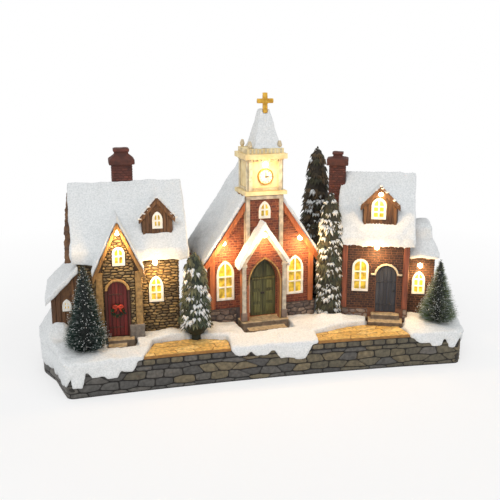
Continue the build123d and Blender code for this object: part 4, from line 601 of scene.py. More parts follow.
def cast(node, material, voxel, rounds, lump=0.0, wave=8.0, sag=0.0, hills=(), tone=None,
         pull=None):
    """A softened casting of a CAD node: edges rounded over, its faces gently uneven."""
    work = bpy.data.objects.new(node + "_work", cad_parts[node].data.copy())
    bpy.context.scene.collection.objects.link(work)
    remesh = work.modifiers.new("remesh", "REMESH")
    remesh.mode = "VOXEL"
    remesh.voxel_size = voxel * MM
    soften = work.modifiers.new("soften", "SMOOTH")
    soften.factor = 0.5
    soften.iterations = rounds
    bpy.context.view_layer.update()
    mesh = bpy.data.meshes.new_from_object(work.evaluated_get(bpy.context.evaluated_depsgraph_get()))
    bpy.data.objects.remove(work)
    without_specks(mesh)
    mesh.update()
    count = len(mesh.vertices) * 3
    places = [0.0] * count
    normals = [0.0] * count
    mesh.vertices.foreach_get("co", places)
    mesh.vertices.foreach_get("normal", normals)
    colours = []
    for i in range(0, count, 3):
        point = Vector(places[i:i + 3]) / MM
        normal = Vector(normals[i:i + 3])
        if pull:
            point = pull(point)
        shift = normal * (lump * noise.fractal(point / wave, 1.0, 2.0, 4))
        if sag and normal.z < 0.25:
            shift.z -= sag * max(0.0, noise.noise(Vector((point.x, point.y, 0)) / (wave * 0.7)) + 0.1)
        if normal.z > 0.3:
            for x, y, radius, height in hills:
                far = ((point.x - x) ** 2 + (point.y - y) ** 2) / (radius * radius)
                if far < 6:
                    shift.z += height * math.exp(-far)
        if tone:
            colours.append(tone(point, normal))
        moved = (point + shift) * MM
        places[i:i + 3] = [min(max(c, low), high) for c, low, high in zip(moved, cad_low, cad_high)]
    mesh.vertices.foreach_set("co", places)
    if tone:
        tint(mesh, colours)
    mesh.polygons.foreach_set("use_smooth", [True] * len(mesh.polygons))
    return shown(node + "_cast", mesh, material, (node,))


def plain(start, end, foot, top, *holes):
    """A wall face with a box for its outline, as clad takes it."""
    return start, end, box_outline(0, span(start, end), foot, top), holes


def clad(shape, building, faces, pattern, proud, bevel, paints, **look):
    """Covers wall faces, each given by start, end, outline and holes, with the cells of a pattern."""
    for start, end, outline, holes in faces:
        cells = fitted(pattern(outline, shape.rng), outline, holes)
        shape.cells(wall(building, start, end), cells, proud, bevel, paints, **look)


# Cottage: rubble walls of the main block and of the wing in front of it
COTTAGE_FOOT = 26.0
COTTAGE_EAVE = 80.8
COTTAGE_RIDGE = 118.3
COTTAGE_WALL_TOP = COTTAGE_EAVE - 1.2
COTTAGE_LEFT = -125.0
COTTAGE_RIGHT = -58.5
COTTAGE_FRONT = -14.0
COTTAGE_BACK = 46.0
WING_LEFT = -114.0
WING_RIGHT = -84.0
WING_Y = -22.0
WING_EAVE = 72.9
WING_RIDGE = 104.4
WING_POST = 4.4
STONE_STEP = (4.3, 2.0)
STONE_PROUD = 0.75
STONE_BEVEL = 0.5
STONE_JOINT = 0.45
STONE_SOFT = 0.2
WING_FRONT = ((WING_LEFT, WING_Y), (WING_RIGHT, WING_Y))
COTTAGE_DOOR = (13.6, 28.0, 13.0, 38.6)
LEAN_TO_HOLE = box_outline(14.0, 59.0, 20.0, 77.0)
cottage_end = gable_outline(COTTAGE_BACK - COTTAGE_FRONT, COTTAGE_FOOT, COTTAGE_EAVE, COTTAGE_RIDGE)
cottage_faces = (
    (*WING_FRONT, gable_outline(30, COTTAGE_FOOT, WING_EAVE, WING_RIDGE, WING_POST, 3.0),
     [arch(*COTTAGE_DOOR, "round", 1.9), arch(15.4, 78.2, 6.2, 10.6, "round", TRIM), disc(15.0, 99.2)]),
    plain((WING_RIGHT, WING_Y), (WING_RIGHT, COTTAGE_FRONT), COTTAGE_FOOT, WING_EAVE),
    plain((WING_LEFT, COTTAGE_FRONT), (WING_LEFT, WING_Y), COTTAGE_FOOT, WING_EAVE),
    plain((WING_RIGHT, COTTAGE_FRONT), (COTTAGE_RIGHT, COTTAGE_FRONT), COTTAGE_FOOT, COTTAGE_WALL_TOP,
          arch(10.2, 49.2, 7.8, 16.4, "pointed", TRIM), disc(10.0, 75.6)),
    plain((COTTAGE_LEFT, COTTAGE_FRONT), (WING_LEFT, COTTAGE_FRONT), COTTAGE_FOOT, COTTAGE_WALL_TOP),
    ((COTTAGE_RIGHT, COTTAGE_FRONT), (COTTAGE_RIGHT, COTTAGE_BACK), cottage_end, ()),
    plain((COTTAGE_RIGHT, COTTAGE_BACK), (COTTAGE_LEFT, COTTAGE_BACK), COTTAGE_FOOT, COTTAGE_WALL_TOP),
    ((COTTAGE_LEFT, COTTAGE_BACK), (COTTAGE_LEFT, COTTAGE_FRONT), cottage_end, [LEAN_TO_HOLE]),
)
stones = Shape(11)
clad(stones, COTTAGE, cottage_faces, partial(rubble, step=STONE_STEP), STONE_PROUD, STONE_BEVEL, STONES,
     crown=0.15, vary=0.16, joint=STONE_JOINT, soft=STONE_SOFT)
stones.piece("cottage_stones", painted_relief, "cottage_stone", smooth=True)

RAIL = 1.2
RAIL_PROUD = 0.5


def barge(shape, building, start, end, eave, ridge, slab, drop, over, paints, proud, gap=None):
    """Boards with a raised rail along both rakes of a gable, left out between the two places of gap."""
    place = wall(building, start, end)
    length = span(start, end)
    middle = length / 2
    slope = (ridge - eave) / middle
    stop, go_on = gap or (middle, middle)
    for low_a, high_a in ((-over, stop), (go_on, length + over)):
        left, right = [ridge - slope * abs(a - middle) for a in (low_a, high_a)]
        board = [(low_a, left - drop), (high_a, right - drop), (high_a, right + slab), (low_a, left + slab)]
        shape.cell(place, board, proud, 0.4, shape.rng.choice(paints))
        rail = [(a, b + slab - RAIL) for a, b in ((low_a, left), (high_a, right))]
        rail += [(a, b + slab) for a, b in ((high_a, right), (low_a, left))]
        shape.cell(place, rail, proud + RAIL_PROUD, 0.3, shape.rng.choice(paints))


# Timber trim: boards along the gables, dormer boarding, lean-to boarding
WING_VERGE = -25.0
ochre = Shape(21)
barge(ochre, COTTAGE, (WING_LEFT, WING_VERGE), (WING_RIGHT, WING_VERGE), WING_EAVE, WING_RIDGE,
      slab=2.2, drop=2.6, over=2.2, paints=OCHRE_BOARDS, proud=0.5)
ochre.piece("wing_barge_boards", wood_grain, "timber_ochre")

# Dormers: building, left and right end, front, back, foot, eave, ridge, and the window and lamp in the front
DORMER_BOARD = 2.0
DORMER_SLAB = 3.0
DORMER_EAVE_PAST = 2.0
DORMER_CORNER = 2.2
DORMERS = (
    (COTTAGE, -81.3, -61.3, -9.0, 6.0, 90.25, 105.45, 116.85,
     [arch(10.1, 99.21, 4.8, 9.52, "pointed", TRIM)]),
    (TOWN, 14.2, 37.8, 4.0, 18.0, 91.16, 107.56, 119.36,
     [arch(10.6, 99.08, 8.2, 13.14, "round", TRIM), disc(11.7, 116.15)]),
)
boards = Shape(23)
dormer_trim = Shape(24)
for building, left, right, front, back, foot, eave, ridge, holes in DORMERS:
    length = right - left
    cheek = box_outline(0, back - front, foot - 2, eave - 0.6)
    faces = (
        ((left, front), (right, front), gable_outline(length, foot, eave, ridge, 0, 1.4), holes),
        ((right, front), (right, back), cheek, ()),
        ((left, back), (left, front), cheek, ()),
    )
    clad(boards, building, faces, partial(planks, width=2.0, gap=0.25), 0.5, 0.3, BROWN_BOARDS)
    board_front = front - DORMER_BOARD
    barge(dormer_trim, building, (left, board_front), (right, board_front), eave, ridge,
          slab=DORMER_SLAB, drop=1.1, over=DORMER_EAVE_PAST, paints=BROWN_BOARDS, proud=0.25)
    place = wall(building, (left, front), (right, front))
    for low in (0.0, length - DORMER_CORNER):
        corner = box_outline(low, low + DORMER_CORNER, foot, eave - 1)
        dormer_trim.cell(place, corner, 1.0, 0.4, BROWN_BOARDS[2])
LEAN_TO_X = -143.0
LEAN_TO_Y = (-13.0, 32.0)
LEAN_TO_FOOT = 24.0
LEAN_TO_EAVE = 53.6
lean_to_front = [(0.0, LEAN_TO_FOOT), (18.0, LEAN_TO_FOOT), (18.0, 71.6), (0.0, LEAN_TO_EAVE)]
lean_to_faces = (
    ((LEAN_TO_X, LEAN_TO_Y[0]), (COTTAGE_LEFT, LEAN_TO_Y[0]), lean_to_front,
     [arch(9.6, 46.6, 3.8, 6.2, "pointed", TRIM)]),
    ((COTTAGE_LEFT, LEAN_TO_Y[1]), (LEAN_TO_X, LEAN_TO_Y[1]),
     [(18.0 - a, b) for a, b in reversed(lean_to_front)], ()),
    plain((LEAN_TO_X, LEAN_TO_Y[1]), (LEAN_TO_X, LEAN_TO_Y[0]), LEAN_TO_FOOT, LEAN_TO_EAVE),
)
clad(boards, COTTAGE, lean_to_faces, partial(planks, width=2.8, gap=0.3), 0.6, 0.35, BROWN_BOARDS)
boards.piece("timber_boarding", wood_grain, "timber_dark")
dormer_trim.piece("dormer_trim", wood_grain, "timber_dark")

# Church: brick walls, tower and porch
BRICK = (3.5, 1.4)
BRICK_JOINT = 0.36
BRICK_PROUD = 0.35
BRICK_BEVEL = 0.25
CHURCH_EAVE = 73.45
CHURCH_RIDGE = 130.0
CHURCH_HALF = 39.0
CHURCH_DEPTH = 50.0
POST = 4.0
PLINTH_TOP = 37.0
TOWER_U = (-13.4, 14.2)
TOWER_V = -3.0
TOWER_WIDE = 27.6
TOWER_FRONT = ((TOWER_U[0], TOWER_V), (TOWER_U[1], TOWER_V))
TOWER_BRICKS = (3.2, 24.4, 31.0, 114.4)
PORCH_FRONT = ((-19.0, -12.0), (13.8, -12.0))
PORCH_WIDE = 32.8
PORCH_EAVE = 71.0
PORCH_RIDGE = 95.6
PORCH_OPENING = (16.6, 30.0, 22.4, 44.4, "pointed")
CHURCH_DOOR = (13.0, 30.0, 19.4, 42.0, "pointed")
CHURCH_WINDOW = (44.2, 10.8, 26.8, "pointed")
brickwork = partial(bricks, size=BRICK, joint=BRICK_JOINT)


def nave_height(u):
    return CHURCH_RIDGE - (CHURCH_RIDGE - CHURCH_EAVE) / CHURCH_HALF * abs(u)


def nave_side(low, high, middle):
    """A strip of the nave's front beside the tower; middle is where the ridge is."""
    return [
        (low, PLINTH_TOP), (high, PLINTH_TOP),
        (high, nave_height(high - middle)), (low, nave_height(low - middle)),
    ]


church_faces = (
    ((0.0, 0.0), (CHURCH_HALF, 0.0), nave_side(TOWER_U[1], CHURCH_HALF - POST, 0.0),
     [arch(24.8, *CHURCH_WINDOW, TRIM), disc(28.6, 84.6)]),
    ((-CHURCH_HALF, 0.0), (0.0, 0.0), nave_side(POST, CHURCH_HALF + TOWER_U[0], CHURCH_HALF),
     [arch(11.4, *CHURCH_WINDOW, TRIM), disc(10.4, 84.6)]),
    plain((CHURCH_HALF, 0.0), (CHURCH_HALF, CHURCH_DEPTH), PLINTH_TOP, CHURCH_EAVE - 1),
    ((CHURCH_HALF, CHURCH_DEPTH), (-CHURCH_HALF, CHURCH_DEPTH),
     gable_outline(2 * CHURCH_HALF, PLINTH_TOP, CHURCH_EAVE, CHURCH_RIDGE), ()),
    plain((-CHURCH_HALF, CHURCH_DEPTH), (-CHURCH_HALF, 0.0), PLINTH_TOP, CHURCH_EAVE - 1),
    (*TOWER_FRONT, box_outline(*TOWER_BRICKS),
     [arch(*CHURCH_DOOR, 0.3), arch(13.8, 102.3, 6.4, 10.2, "pointed", TRIM), disc(10.8, 91.2)]),
    (*PORCH_FRONT, gable_outline(PORCH_WIDE, 31.0, PORCH_EAVE, PORCH_RIDGE, 3.2, 3.4),
     [arch(*PORCH_OPENING, 1.5), disc(16.4, 91.2)]),
)
church_bricks = Shape(31)
clad(church_bricks, CHURCH, church_faces, brickwork, BRICK_PROUD, BRICK_BEVEL, CHURCH_BRICKS)
church_bricks.piece("church_bricks", painted_relief, "church_brick")

PLINTH_STEP = (6.0, 3.4)
PLINTH_FOOT = 24.0
PLINTH_GAP = 0.2
PLINTH_U = 40.2
PLINTH_V = (-1.2, 51.2)
# Where the plinth stops at the two sides of the porch
PLINTH_ENDS = ((-19.6, PLINTH_V[0]), (15.1, PLINTH_V[0]))


def stone_courses(shape, building, faces):
    clad(shape, building, faces, partial(rubble, step=PLINTH_STEP), 0.6, 0.5, PLINTH_STONES,
         crown=0.1, vary=0.14, joint=0.45, soft=STONE_SOFT)


plinth_stones = Shape(32)
front_left, front_right, back_right, back_left = box_outline(-PLINTH_U, PLINTH_U, *PLINTH_V)
corners = (front_right, back_right, back_left, front_left)
courses = [*zip(corners, corners[1:]), (front_left, PLINTH_ENDS[0]), (PLINTH_ENDS[1], front_right)]
plinth_top = PLINTH_TOP - PLINTH_GAP
stone_courses(plinth_stones, CHURCH, [plain(start, end, PLINTH_FOOT, plinth_top) for start, end in courses])
plinth_stones.piece("church_plinth_stones", painted_relief, "plinth_grey", smooth=True)

VERGE = 2.5
tower_gap = (CHURCH_HALF + TOWER_U[0], CHURCH_HALF + TOWER_U[1])
orange = Shape(33)
church_boards = partial(
    barge, orange, CHURCH, eave=CHURCH_EAVE, ridge=CHURCH_RIDGE, slab=2.8, drop=3.0, over=5.0,
    paints=ORANGE_BOARDS, proud=0.5)
church_boards((-CHURCH_HALF, -VERGE), (CHURCH_HALF, -VERGE), gap=tower_gap)
church_boards((CHURCH_HALF, CHURCH_DEPTH + VERGE), (-CHURCH_HALF, CHURCH_DEPTH + VERGE))
orange.piece("church_barge_boards", wood_grain, "timber_orange")

# Cream trim: tower pilasters and ledge, porch pilasters with caps and feet, and the porch gable
PILASTER = 3.2
PILASTER_Z = (33.0, 116.8)
PORCH_CAP_Z = (69.0, 71.4)
PORCH_FOOT_Z = (30.2, 36.4)
PORCH_PAST = 0.6
trim = Shape(34)
tower_front = wall(CHURCH, *TOWER_FRONT)
for low in (0.0, TOWER_WIDE - PILASTER):
    trim.cell(tower_front, box_outline(low, low + PILASTER, *PILASTER_Z), 0.9, 0.4, CREAM_BOARDS[0])
trim.cell(tower_front, box_outline(0.0, TOWER_WIDE, 114.6, 117.4), 1.3, 0.4, CREAM_BOARDS[1])
for start, end in ((TOWER_FRONT[1], (TOWER_U[1], 0.0)), ((TOWER_U[0], 0.0), TOWER_FRONT[0])):
    trim.cell(wall(CHURCH, start, end), box_outline(0, 3.0, *PILASTER_Z), 0.4, 0.3, CREAM_BOARDS[1])
porch_front = wall(CHURCH, *PORCH_FRONT)
for low in (0.0, PORCH_WIDE - PILASTER):
    high = low + PILASTER
    wider = (low - PORCH_PAST, high + PORCH_PAST)
    trim.cell(porch_front, box_outline(low, high, 36.0, PORCH_EAVE), 1.0, 0.4, CREAM_BOARDS[0])
    trim.cell(porch_front, box_outline(*wider, *PORCH_CAP_Z), 1.5, 0.4, CREAM_BOARDS[1])
    trim.cell(porch_front, box_outline(*wider, *PORCH_FOOT_Z), 1.5, 0.5, PLINTH_STONES[0])
porch_rakes = ((0, PORCH_EAVE), (PORCH_WIDE / 2, PORCH_RIDGE), (PORCH_WIDE, PORCH_EAVE))
for (low, left), (high, right) in zip(porch_rakes, porch_rakes[1:]):
    board = [(low, left - 3.6), (high, right - 3.6), (high, right - 0.2), (low, left - 0.2)]
    trim.cell(porch_front, board, 1.0, 0.4, CREAM_BOARDS[1])
trim.piece("church_trim", painted_smooth, "cream_paint")


def band(shape, place, inner, outer, proud, bevel, colour):
    """A raised band of cells between two outlines with as many points."""
    for i in range(len(inner) - 1):
        shape.cell(place, [inner[i], outer[i], outer[i + 1], inner[i + 1]], proud, bevel, colour)


arches = Shape(35)
opening, outer_opening = arch(*PORCH_OPENING)[1:], arch(*PORCH_OPENING, 1.4)[1:]
band(arches, porch_front, opening, outer_opening, 0.7, 0.25, OCHRE_BOARDS[2])
arches.piece("porch_arch", wood_grain, "timber_orange")

# Belfry: pilasters, rails, dentils and parapet blocks
BELFRY_U = (-11.0, 13.8)
BELFRY_V = (-1.7, 18.7)
BELFRY_Z = (120.3, 142.3)
PARAPET_Z = (146.1, 149.2)
BELFRY_CORNER = 3.0
BELFRY_RAIL_INSET = 3.2
BELFRY_RAILS = ((BELFRY_Z[0], 122.6), (140.4, BELFRY_Z[1]))
DENTIL_PITCH = 2.6
DENTIL_FOOT = 141.0
DENTIL_HALF = 0.65
BLOCK_HALF = 0.8
belfry_corners = box_outline(*BELFRY_U, *BELFRY_V)
belfry = Shape(36)
for start, end in pairs(belfry_corners):
    place = wall(CHURCH, start, end)
    length = span(start, end)
    for low in (0.0, length - BELFRY_CORNER):
        belfry.cell(place, box_outline(low, low + BELFRY_CORNER, *BELFRY_Z), 0.8, 0.35, BELFRY_BOARDS[0])
    for low, high in BELFRY_RAILS:
        rail = box_outline(BELFRY_RAIL_INSET, length - BELFRY_RAIL_INSET, low, high)
        belfry.cell(place, rail, 0.7, 0.3, BELFRY_BOARDS[1])
    count = int(length / DENTIL_PITCH)
    for i in range(count):
        at = (i + 0.5) * length / count
        dentil = box_outline(at - DENTIL_HALF, at + DENTIL_HALF, DENTIL_FOOT, BELFRY_Z[1])
        belfry.cell(place, dentil, 1.6, 0.25, BELFRY_BOARDS[0])
        parapet_block = box_outline(at - BLOCK_HALF, at + BLOCK_HALF, *PARAPET_Z)
        belfry.cell(place, parapet_block, 1.25, 0.3, BELFRY_BOARDS[0])
belfry.piece("belfry_trim", painted_smooth, "cream_paint")

# Clock: dial and hub from pairs of radius and reach, ring radii, and the turn and length of each hand
CLOCK_A = 12.4
CLOCK_Z = 130.2
CLOCK_STEPS = 48
DIAL = ((5.2, -0.2), (5.2, 0.6), (4.6, 0.8), (0.4, 0.9))
DIAL_PAINT = paint(244, 240, 228)
HUB = ((0.6, 0.6), (0.6, 1.5), (0.3, 1.7))
RING_RADII = (4.7, 5.7)
HOURS = 12
HANDS = ((0.0, 4.0), (math.pi / 2, 2.8))
clock_front = wall(CHURCH, belfry_corners[0], belfry_corners[1])
clock = Shape(37)
clock.lathe(clock_front, CLOCK_A, CLOCK_Z, DIAL, 40, DIAL_PAINT)
clock.piece("clock_dial", painted_smooth, "clock_white", "clock_face")
ring = Shape(38)
inner, outer = [disc(CLOCK_A, CLOCK_Z, radius, CLOCK_STEPS) for radius in RING_RADII]
band(ring, clock_front, inner + inner[:1], outer + outer[:1], 1.2, 0.25, paint(150, 116, 52))
ring.piece("clock_ring", gold, "gold_paint")


def turned(angle, corners):
    """Corners given as reach and side step, turned clockwise from twelve on the clock."""
    sine, cosine = math.sin(angle), math.cos(angle)
    return [
        (CLOCK_A + sine * reach + cosine * step, CLOCK_Z + cosine * reach - sine * step)
        for reach, step in corners
    ]


marks = Shape(39)
for i in range(HOURS):
    corners = ((3.5, -0.22), (3.5, 0.22), (4.4, 0.22), (4.4, -0.22))
    marks.cell(clock_front, turned(math.pi * i / (HOURS / 2), corners), 1.1, 0.1, IRON)
for angle, reach in HANDS:
    corners = ((-0.8, -0.25), (-0.8, 0.25), (reach * 0.6, 0.45), (reach, 0.0), (reach * 0.6, -0.45))
    marks.cell(clock_front, turned(angle, corners), 1.3, 0.1, IRON)
marks.lathe(clock_front, CLOCK_A, CLOCK_Z, HUB, 14, IRON)
marks.piece("clock_marks", painted_smooth, "dark_paint", "clock_hands")

# Townhouse: brick walls, annex, stone plinth and chimneys
TOWN_EAVE = 82.6
TOWN_RIDGE = 121.52
TOWN_WIDE = 47.6
TOWN_DEPTH = 56.0
TOWN_FOOT = 26.0
TOWN_PLINTH_TOP = 33.0
ANNEX_U = 66.4
ANNEX_V = (11.0, 44.0)
ANNEX_TOP = 69.0
TOWN_DOOR = (32.0, 30.0, 14.8, 35.4, "round")
CHIMNEY_HOLE = box_outline(23.0, 34.0, 20.0, 130.0)
TOWN_STEPS_HOLE = box_outline(19.6, 44.4, 20.0, 34.0)
town_gable = gable_outline(TOWN_DEPTH, TOWN_FOOT, TOWN_EAVE, TOWN_RIDGE)
town_faces = (
    ((0.0, 0.0), (TOWN_WIDE, 0.0), box_outline(4.1, 43.5, TOWN_PLINTH_TOP, TOWN_EAVE - 1.2),
     [arch(13.3, 46.5, 9.6, 22.0, "round", TRIM), arch(*TOWN_DOOR, 0.4), disc(24.4, 78.2)]),
    ((TOWN_WIDE, 0.0), (TOWN_WIDE, TOWN_DEPTH), town_gable, [box_outline(*ANNEX_V, 20.0, 92.0)]),
    plain((TOWN_WIDE, TOWN_DEPTH), (0.0, TOWN_DEPTH), TOWN_FOOT, TOWN_EAVE - 1),
    ((0.0, TOWN_DEPTH), (0.0, 0.0), town_gable, [CHIMNEY_HOLE]),
    plain((TOWN_WIDE, ANNEX_V[0]), (ANNEX_U, ANNEX_V[0]), TOWN_FOOT, ANNEX_TOP,
          arch(8.2, 42.6, 7.2, 15.4, "pointed", TRIM), disc(8.8, 63.0)),
    plain((ANNEX_U, ANNEX_V[0]), (ANNEX_U, ANNEX_V[1]), TOWN_FOOT, ANNEX_TOP),
    plain((ANNEX_U, ANNEX_V[1]), (TOWN_WIDE, ANNEX_V[1]), TOWN_FOOT, ANNEX_TOP),
)
town_bricks = Shape(41)
clad(town_bricks, TOWN, town_faces, brickwork, BRICK_PROUD, BRICK_BEVEL, TOWN_BRICKS)
town_bricks.piece("townhouse_bricks", painted_relief, "townhouse_brick")

town_plinth = Shape(44)
plinth_top = TOWN_PLINTH_TOP - PLINTH_GAP
stone_courses(
    town_plinth, TOWN, [plain((0.0, -1.0), (TOWN_WIDE, -1.0), PLINTH_FOOT, plinth_top, TOWN_STEPS_HOLE)])
town_plinth.piece("townhouse_plinth_stones", painted_relief, "plinth_grey", smooth=True)

# Chimney shafts: building, u range, v range, foot and top of the brick courses
SHAFTS = (
    (COTTAGE, (-98.5, -84.9), (16.5, 27.5), 108.0, 138.2),
    (TOWN, (-11.6, 0.0), (22.0, 33.0), 28.0, 133.4),
)
chimneys = Shape(43)
for building, wide, deep, foot, top in SHAFTS:
    faces = [plain(start, end, foot, top) for start, end in pairs(box_outline(*wide, *deep))]
    clad(chimneys, building, faces, brickwork, BRICK_PROUD, BRICK_BEVEL, CHIMNEY_BRICKS)
# Chimney pots: building, middle, half sizes, and the height of the rim
POTS = (
    (COTTAGE, (-91.7, 22.0), (4.76, 3.85), (147.0, 149.2)),
    (TOWN, (-5.8, 27.5), (3.36, 3.19), (141.2, 142.9)),
)
POT_PAST = 0.6
for building, (u, v), (half_u, half_v), rim in POTS:
    for start, end in pairs(box_outline(u - half_u, u + half_u, v - half_v, v + half_v)):
        outline = box_outline(-POT_PAST, span(start, end) + POT_PAST, *rim)
        chimneys.cell(wall(building, start, end), outline, 0.7, 0.4, CHIMNEY_BRICKS[0])
chimneys.piece("chimney_bricks", painted_relief, "chimney_brick")

# Doors: their depth behind the wall, the boards of two of them, and the knob from pairs of radius and reach
DOOR_BACK = 0.8
PLANK = 2.4
PLANK_GAP = 0.22
KNOB = ((0.7, 0.0), (0.8, 0.8), (0.5, 1.2))
KNOB_SIDES = 14
STRAP_PROUD = 0.75


def plank_door(shape, place, outline, paints, straps, strap_bevel, strap_paint, knob):
    cells = fitted(planks(outline, shape.rng, PLANK, PLANK_GAP), outline)
    shape.cells(place, cells, 0.4, 0.25, paints)
    for strap in straps:
        shape.cell(place, box_outline(*strap), STRAP_PROUD, strap_bevel, strap_paint)
    shape.lathe(place, *knob, KNOB, KNOB_SIDES, IRON)


cottage_door = Shape(51)
door_front = wall(COTTAGE, (WING_LEFT, WING_Y + DOOR_BACK), (WING_RIGHT, WING_Y + DOOR_BACK))
plank_door(cottage_door, door_front, arch(*COTTAGE_DOOR, "round", -0.2), RED_BOARDS,
           ((7.5, 17.0, 34.0, 35.0), (7.5, 17.0, 57.0, 58.0)), 0.2, JAMB_RED, (18.4, 44.0))
wing_front = wall(COTTAGE, *WING_FRONT)
for low in (COTTAGE_DOOR[0] - 8.2, COTTAGE_DOOR[0] + 6.6):
    cottage_door.cell(wing_front, box_outline(low, low + 1.6, 28.0, 60.6), 0.8, 0.3, JAMB_RED)
cottage_door.piece("cottage_door_boards", wood_grain, "door_red")

# Church door: the two leaves, the heights of the panels in each, and the rail across
LEAVES = ((3.8, 12.7), (13.3, 22.2))
PANELS_Z = ((31.6, 38.6), (40.2, 48.2), (49.8, 56.6), (59.2, 70.0))
PANEL_INSET = 1.6
DOOR_RAIL = box_outline(4.2, 21.8, 57.2, 58.6)
church_door = Shape(52)
door_front = wall(CHURCH, (TOWER_U[0], TOWER_V + DOOR_BACK), (TOWER_U[1], TOWER_V + DOOR_BACK))
leaf_arch = arch(*CHURCH_DOOR, -0.3)
panel_arch = arch(*CHURCH_DOOR, -2.0)
for low, high in LEAVES:
    for cell in fitted([box_outline(low, high, 30.3, 72.0)], leaf_arch):
        church_door.cell(door_front, cell, 0.35, 0.3, GREEN_BOARDS[1])
    for levels in PANELS_Z:
        for cell in fitted([box_outline(low + PANEL_INSET, high - PANEL_INSET, *levels)], panel_arch):
            church_door.cell(door_front, cell, 0.85, 0.9, GREEN_BOARDS[0])
    church_door.lathe(door_front, min(max(low, 12.0), 14.0), 47.0, KNOB, KNOB_SIDES, IRON)
church_door.cell(door_front, DOOR_RAIL, 1.1, 0.3, paint(112, 108, 62))
church_door.piece("church_door_panels", wood_grain, "door_green")

town_door = Shape(53)
door_front = wall(TOWN, (0.0, DOOR_BACK), (TOWN_WIDE, DOOR_BACK))
plank_door(town_door, door_front, arch(*TOWN_DOOR, -0.2), BLUE_BOARDS,
           ((24.9, 39.1, 35.0, 36.2), (24.9, 39.1, 52.0, 53.2)), 0.25, BLUE_BOARDS[1], (37.6, 46.0))
town_door.piece("townhouse_door_boards", wood_grain, "door_blue")

# Wreath and bow on the cottage door
DOOR_X = -100.4
WREATH_Y = -22.0
WREATH_Z = 46.2
WREATH_RADIUS = 3.7
WREATH_LEAVES = 150
WREATH_TUFTS = 24
WREATH_BERRIES = 8
RIGHT = Vector((1, 0, 0))
BACKWARD = Vector((0, 1, 0))
UP = Vector((0, 0, 1))


def on_wreath(angle, radius, y):
    return Vector((DOOR_X + radius * math.cos(angle), y, WREATH_Z + radius * math.sin(angle)))


wreath = Shape(54)
for i in range(WREATH_LEAVES):
    angle = wreath.rng.uniform(0, 2 * math.pi)
    turn = wreath.rng.uniform(0, 2 * math.pi)
    root = on_wreath(angle, WREATH_RADIUS + 0.5 * math.cos(turn), WREATH_Y + 0.4 * math.sin(turn))
    outward = RIGHT * math.cos(angle) + UP * math.sin(angle)
    along = UP * math.cos(angle) - RIGHT * math.sin(angle)
    away = outward * math.cos(turn) * 0.9 + BACKWARD * (0.4 * math.sin(turn) - 0.5)
    away += along * wreath.rng.uniform(0.2, 1.0)
    tip = root + away.normalized() * wreath.rng.uniform(0.8, 1.3)
    colour = wreath.rng.choice(WREATH_GREENS)
    wreath.leaf(root, tip, UP * 0.2 - BACKWARD, 0.3, 0.14, colour, shaded(colour, 1.3))
for i in range(WREATH_TUFTS):
    middle = on_wreath(2 * math.pi * i / WREATH_TUFTS, WREATH_RADIUS, WREATH_Y + 0.2)
    wreath.blob(middle, (RIGHT * 0.75, BACKWARD * 0.5, UP * 0.75), WREATH_GREENS[2], 0.12)
for i in range(WREATH_BERRIES):
    angle = 2 * math.pi * (i + 0.3) / WREATH_BERRIES
    middle = on_wreath(angle, WREATH_RADIUS + 0.1, WREATH_Y - 0.6)
    wreath.blob(middle, (RIGHT * 0.38, BACKWARD * 0.38, UP * 0.38), BERRY_RED, 0.05)
wreath.piece("wreath_leaves", tree_paint, "wreath_green", "door_wreath")

BOW_Y = -23.4
BOW_Z = 49.0
BOW_BEADS = 12
BOW_ROUGH = 0.04
bow = Shape(55)


def on_bow(x, y, z):
    return Vector((DOOR_X + x, BOW_Y + y, BOW_Z + z))


for side in (-1, 1):
    for i in range(BOW_BEADS):
        angle = 2 * math.pi * i / BOW_BEADS
        x, z = DOOR_X + side * (1.9 + 1.3 * math.cos(angle)), BOW_Z + 0.3 + 0.95 * math.sin(angle)
        bow.blob(Vector((x, BOW_Y, z)), (RIGHT * 0.6, BACKWARD * 0.62, UP * 0.6), BOW_RED, BOW_ROUGH)
    # Painted shade: a darker red blob fills each loop from behind
    axes = (RIGHT * 1.3, BACKWARD * 0.4, UP * 0.9)
    bow.blob(on_bow(side * 1.9, 0.15, 0.3), axes, shaded(BOW_RED, 0.7), BOW_ROUGH)
    root, tail = on_bow(side * 0.3, 0.0, 0.0), on_bow(side * 2.9, 0.2, -4.2)
    bow.leaf(root, tail, -BACKWARD, 0.8, 0.3, BOW_RED, BOW_RED)
bow.blob(on_bow(0.0, -0.2, 0.2), (RIGHT * 0.9, BACKWARD * 0.55, UP * 0.9), BOW_RED, BOW_ROUGH)
bow.piece("wreath_ribbon", painted_smooth, "bow_red", "wreath_bow", smooth=True)

# Base wall: a kerb course and rubble round the whole base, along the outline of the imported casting
LEVEL_SLACK = 0.5 * MM
UPRIGHT_SLACK = 0.01
outline_points = {}
base_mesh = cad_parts["base_casting"].data
base_top = max(v.co.z for v in base_mesh.vertices)
for polygon in base_mesh.polygons:
    heights = [base_mesh.vertices[i].co.z for i in polygon.vertices]
    full_height = min(heights) < LEVEL_SLACK and max(heights) > base_top - LEVEL_SLACK
    if full_height and abs(polygon.normal.z) < UPRIGHT_SLACK:
        for i in polygon.vertices:
            point = base_mesh.vertices[i].co / MM
            outline_points[round(point.x, 2), round(point.y, 2)] = point
ordered = sorted(outline_points.values(), key=lambda p: (math.atan2(p.y, p.x) - math.pi / 2) % (2 * math.pi))
path = [(p.x, p.y) for p in ordered]
path.append(path[0])
lengths = [0.0]
for first, last in zip(path, path[1:]):
    lengths.append(lengths[-1] + span(first, last))


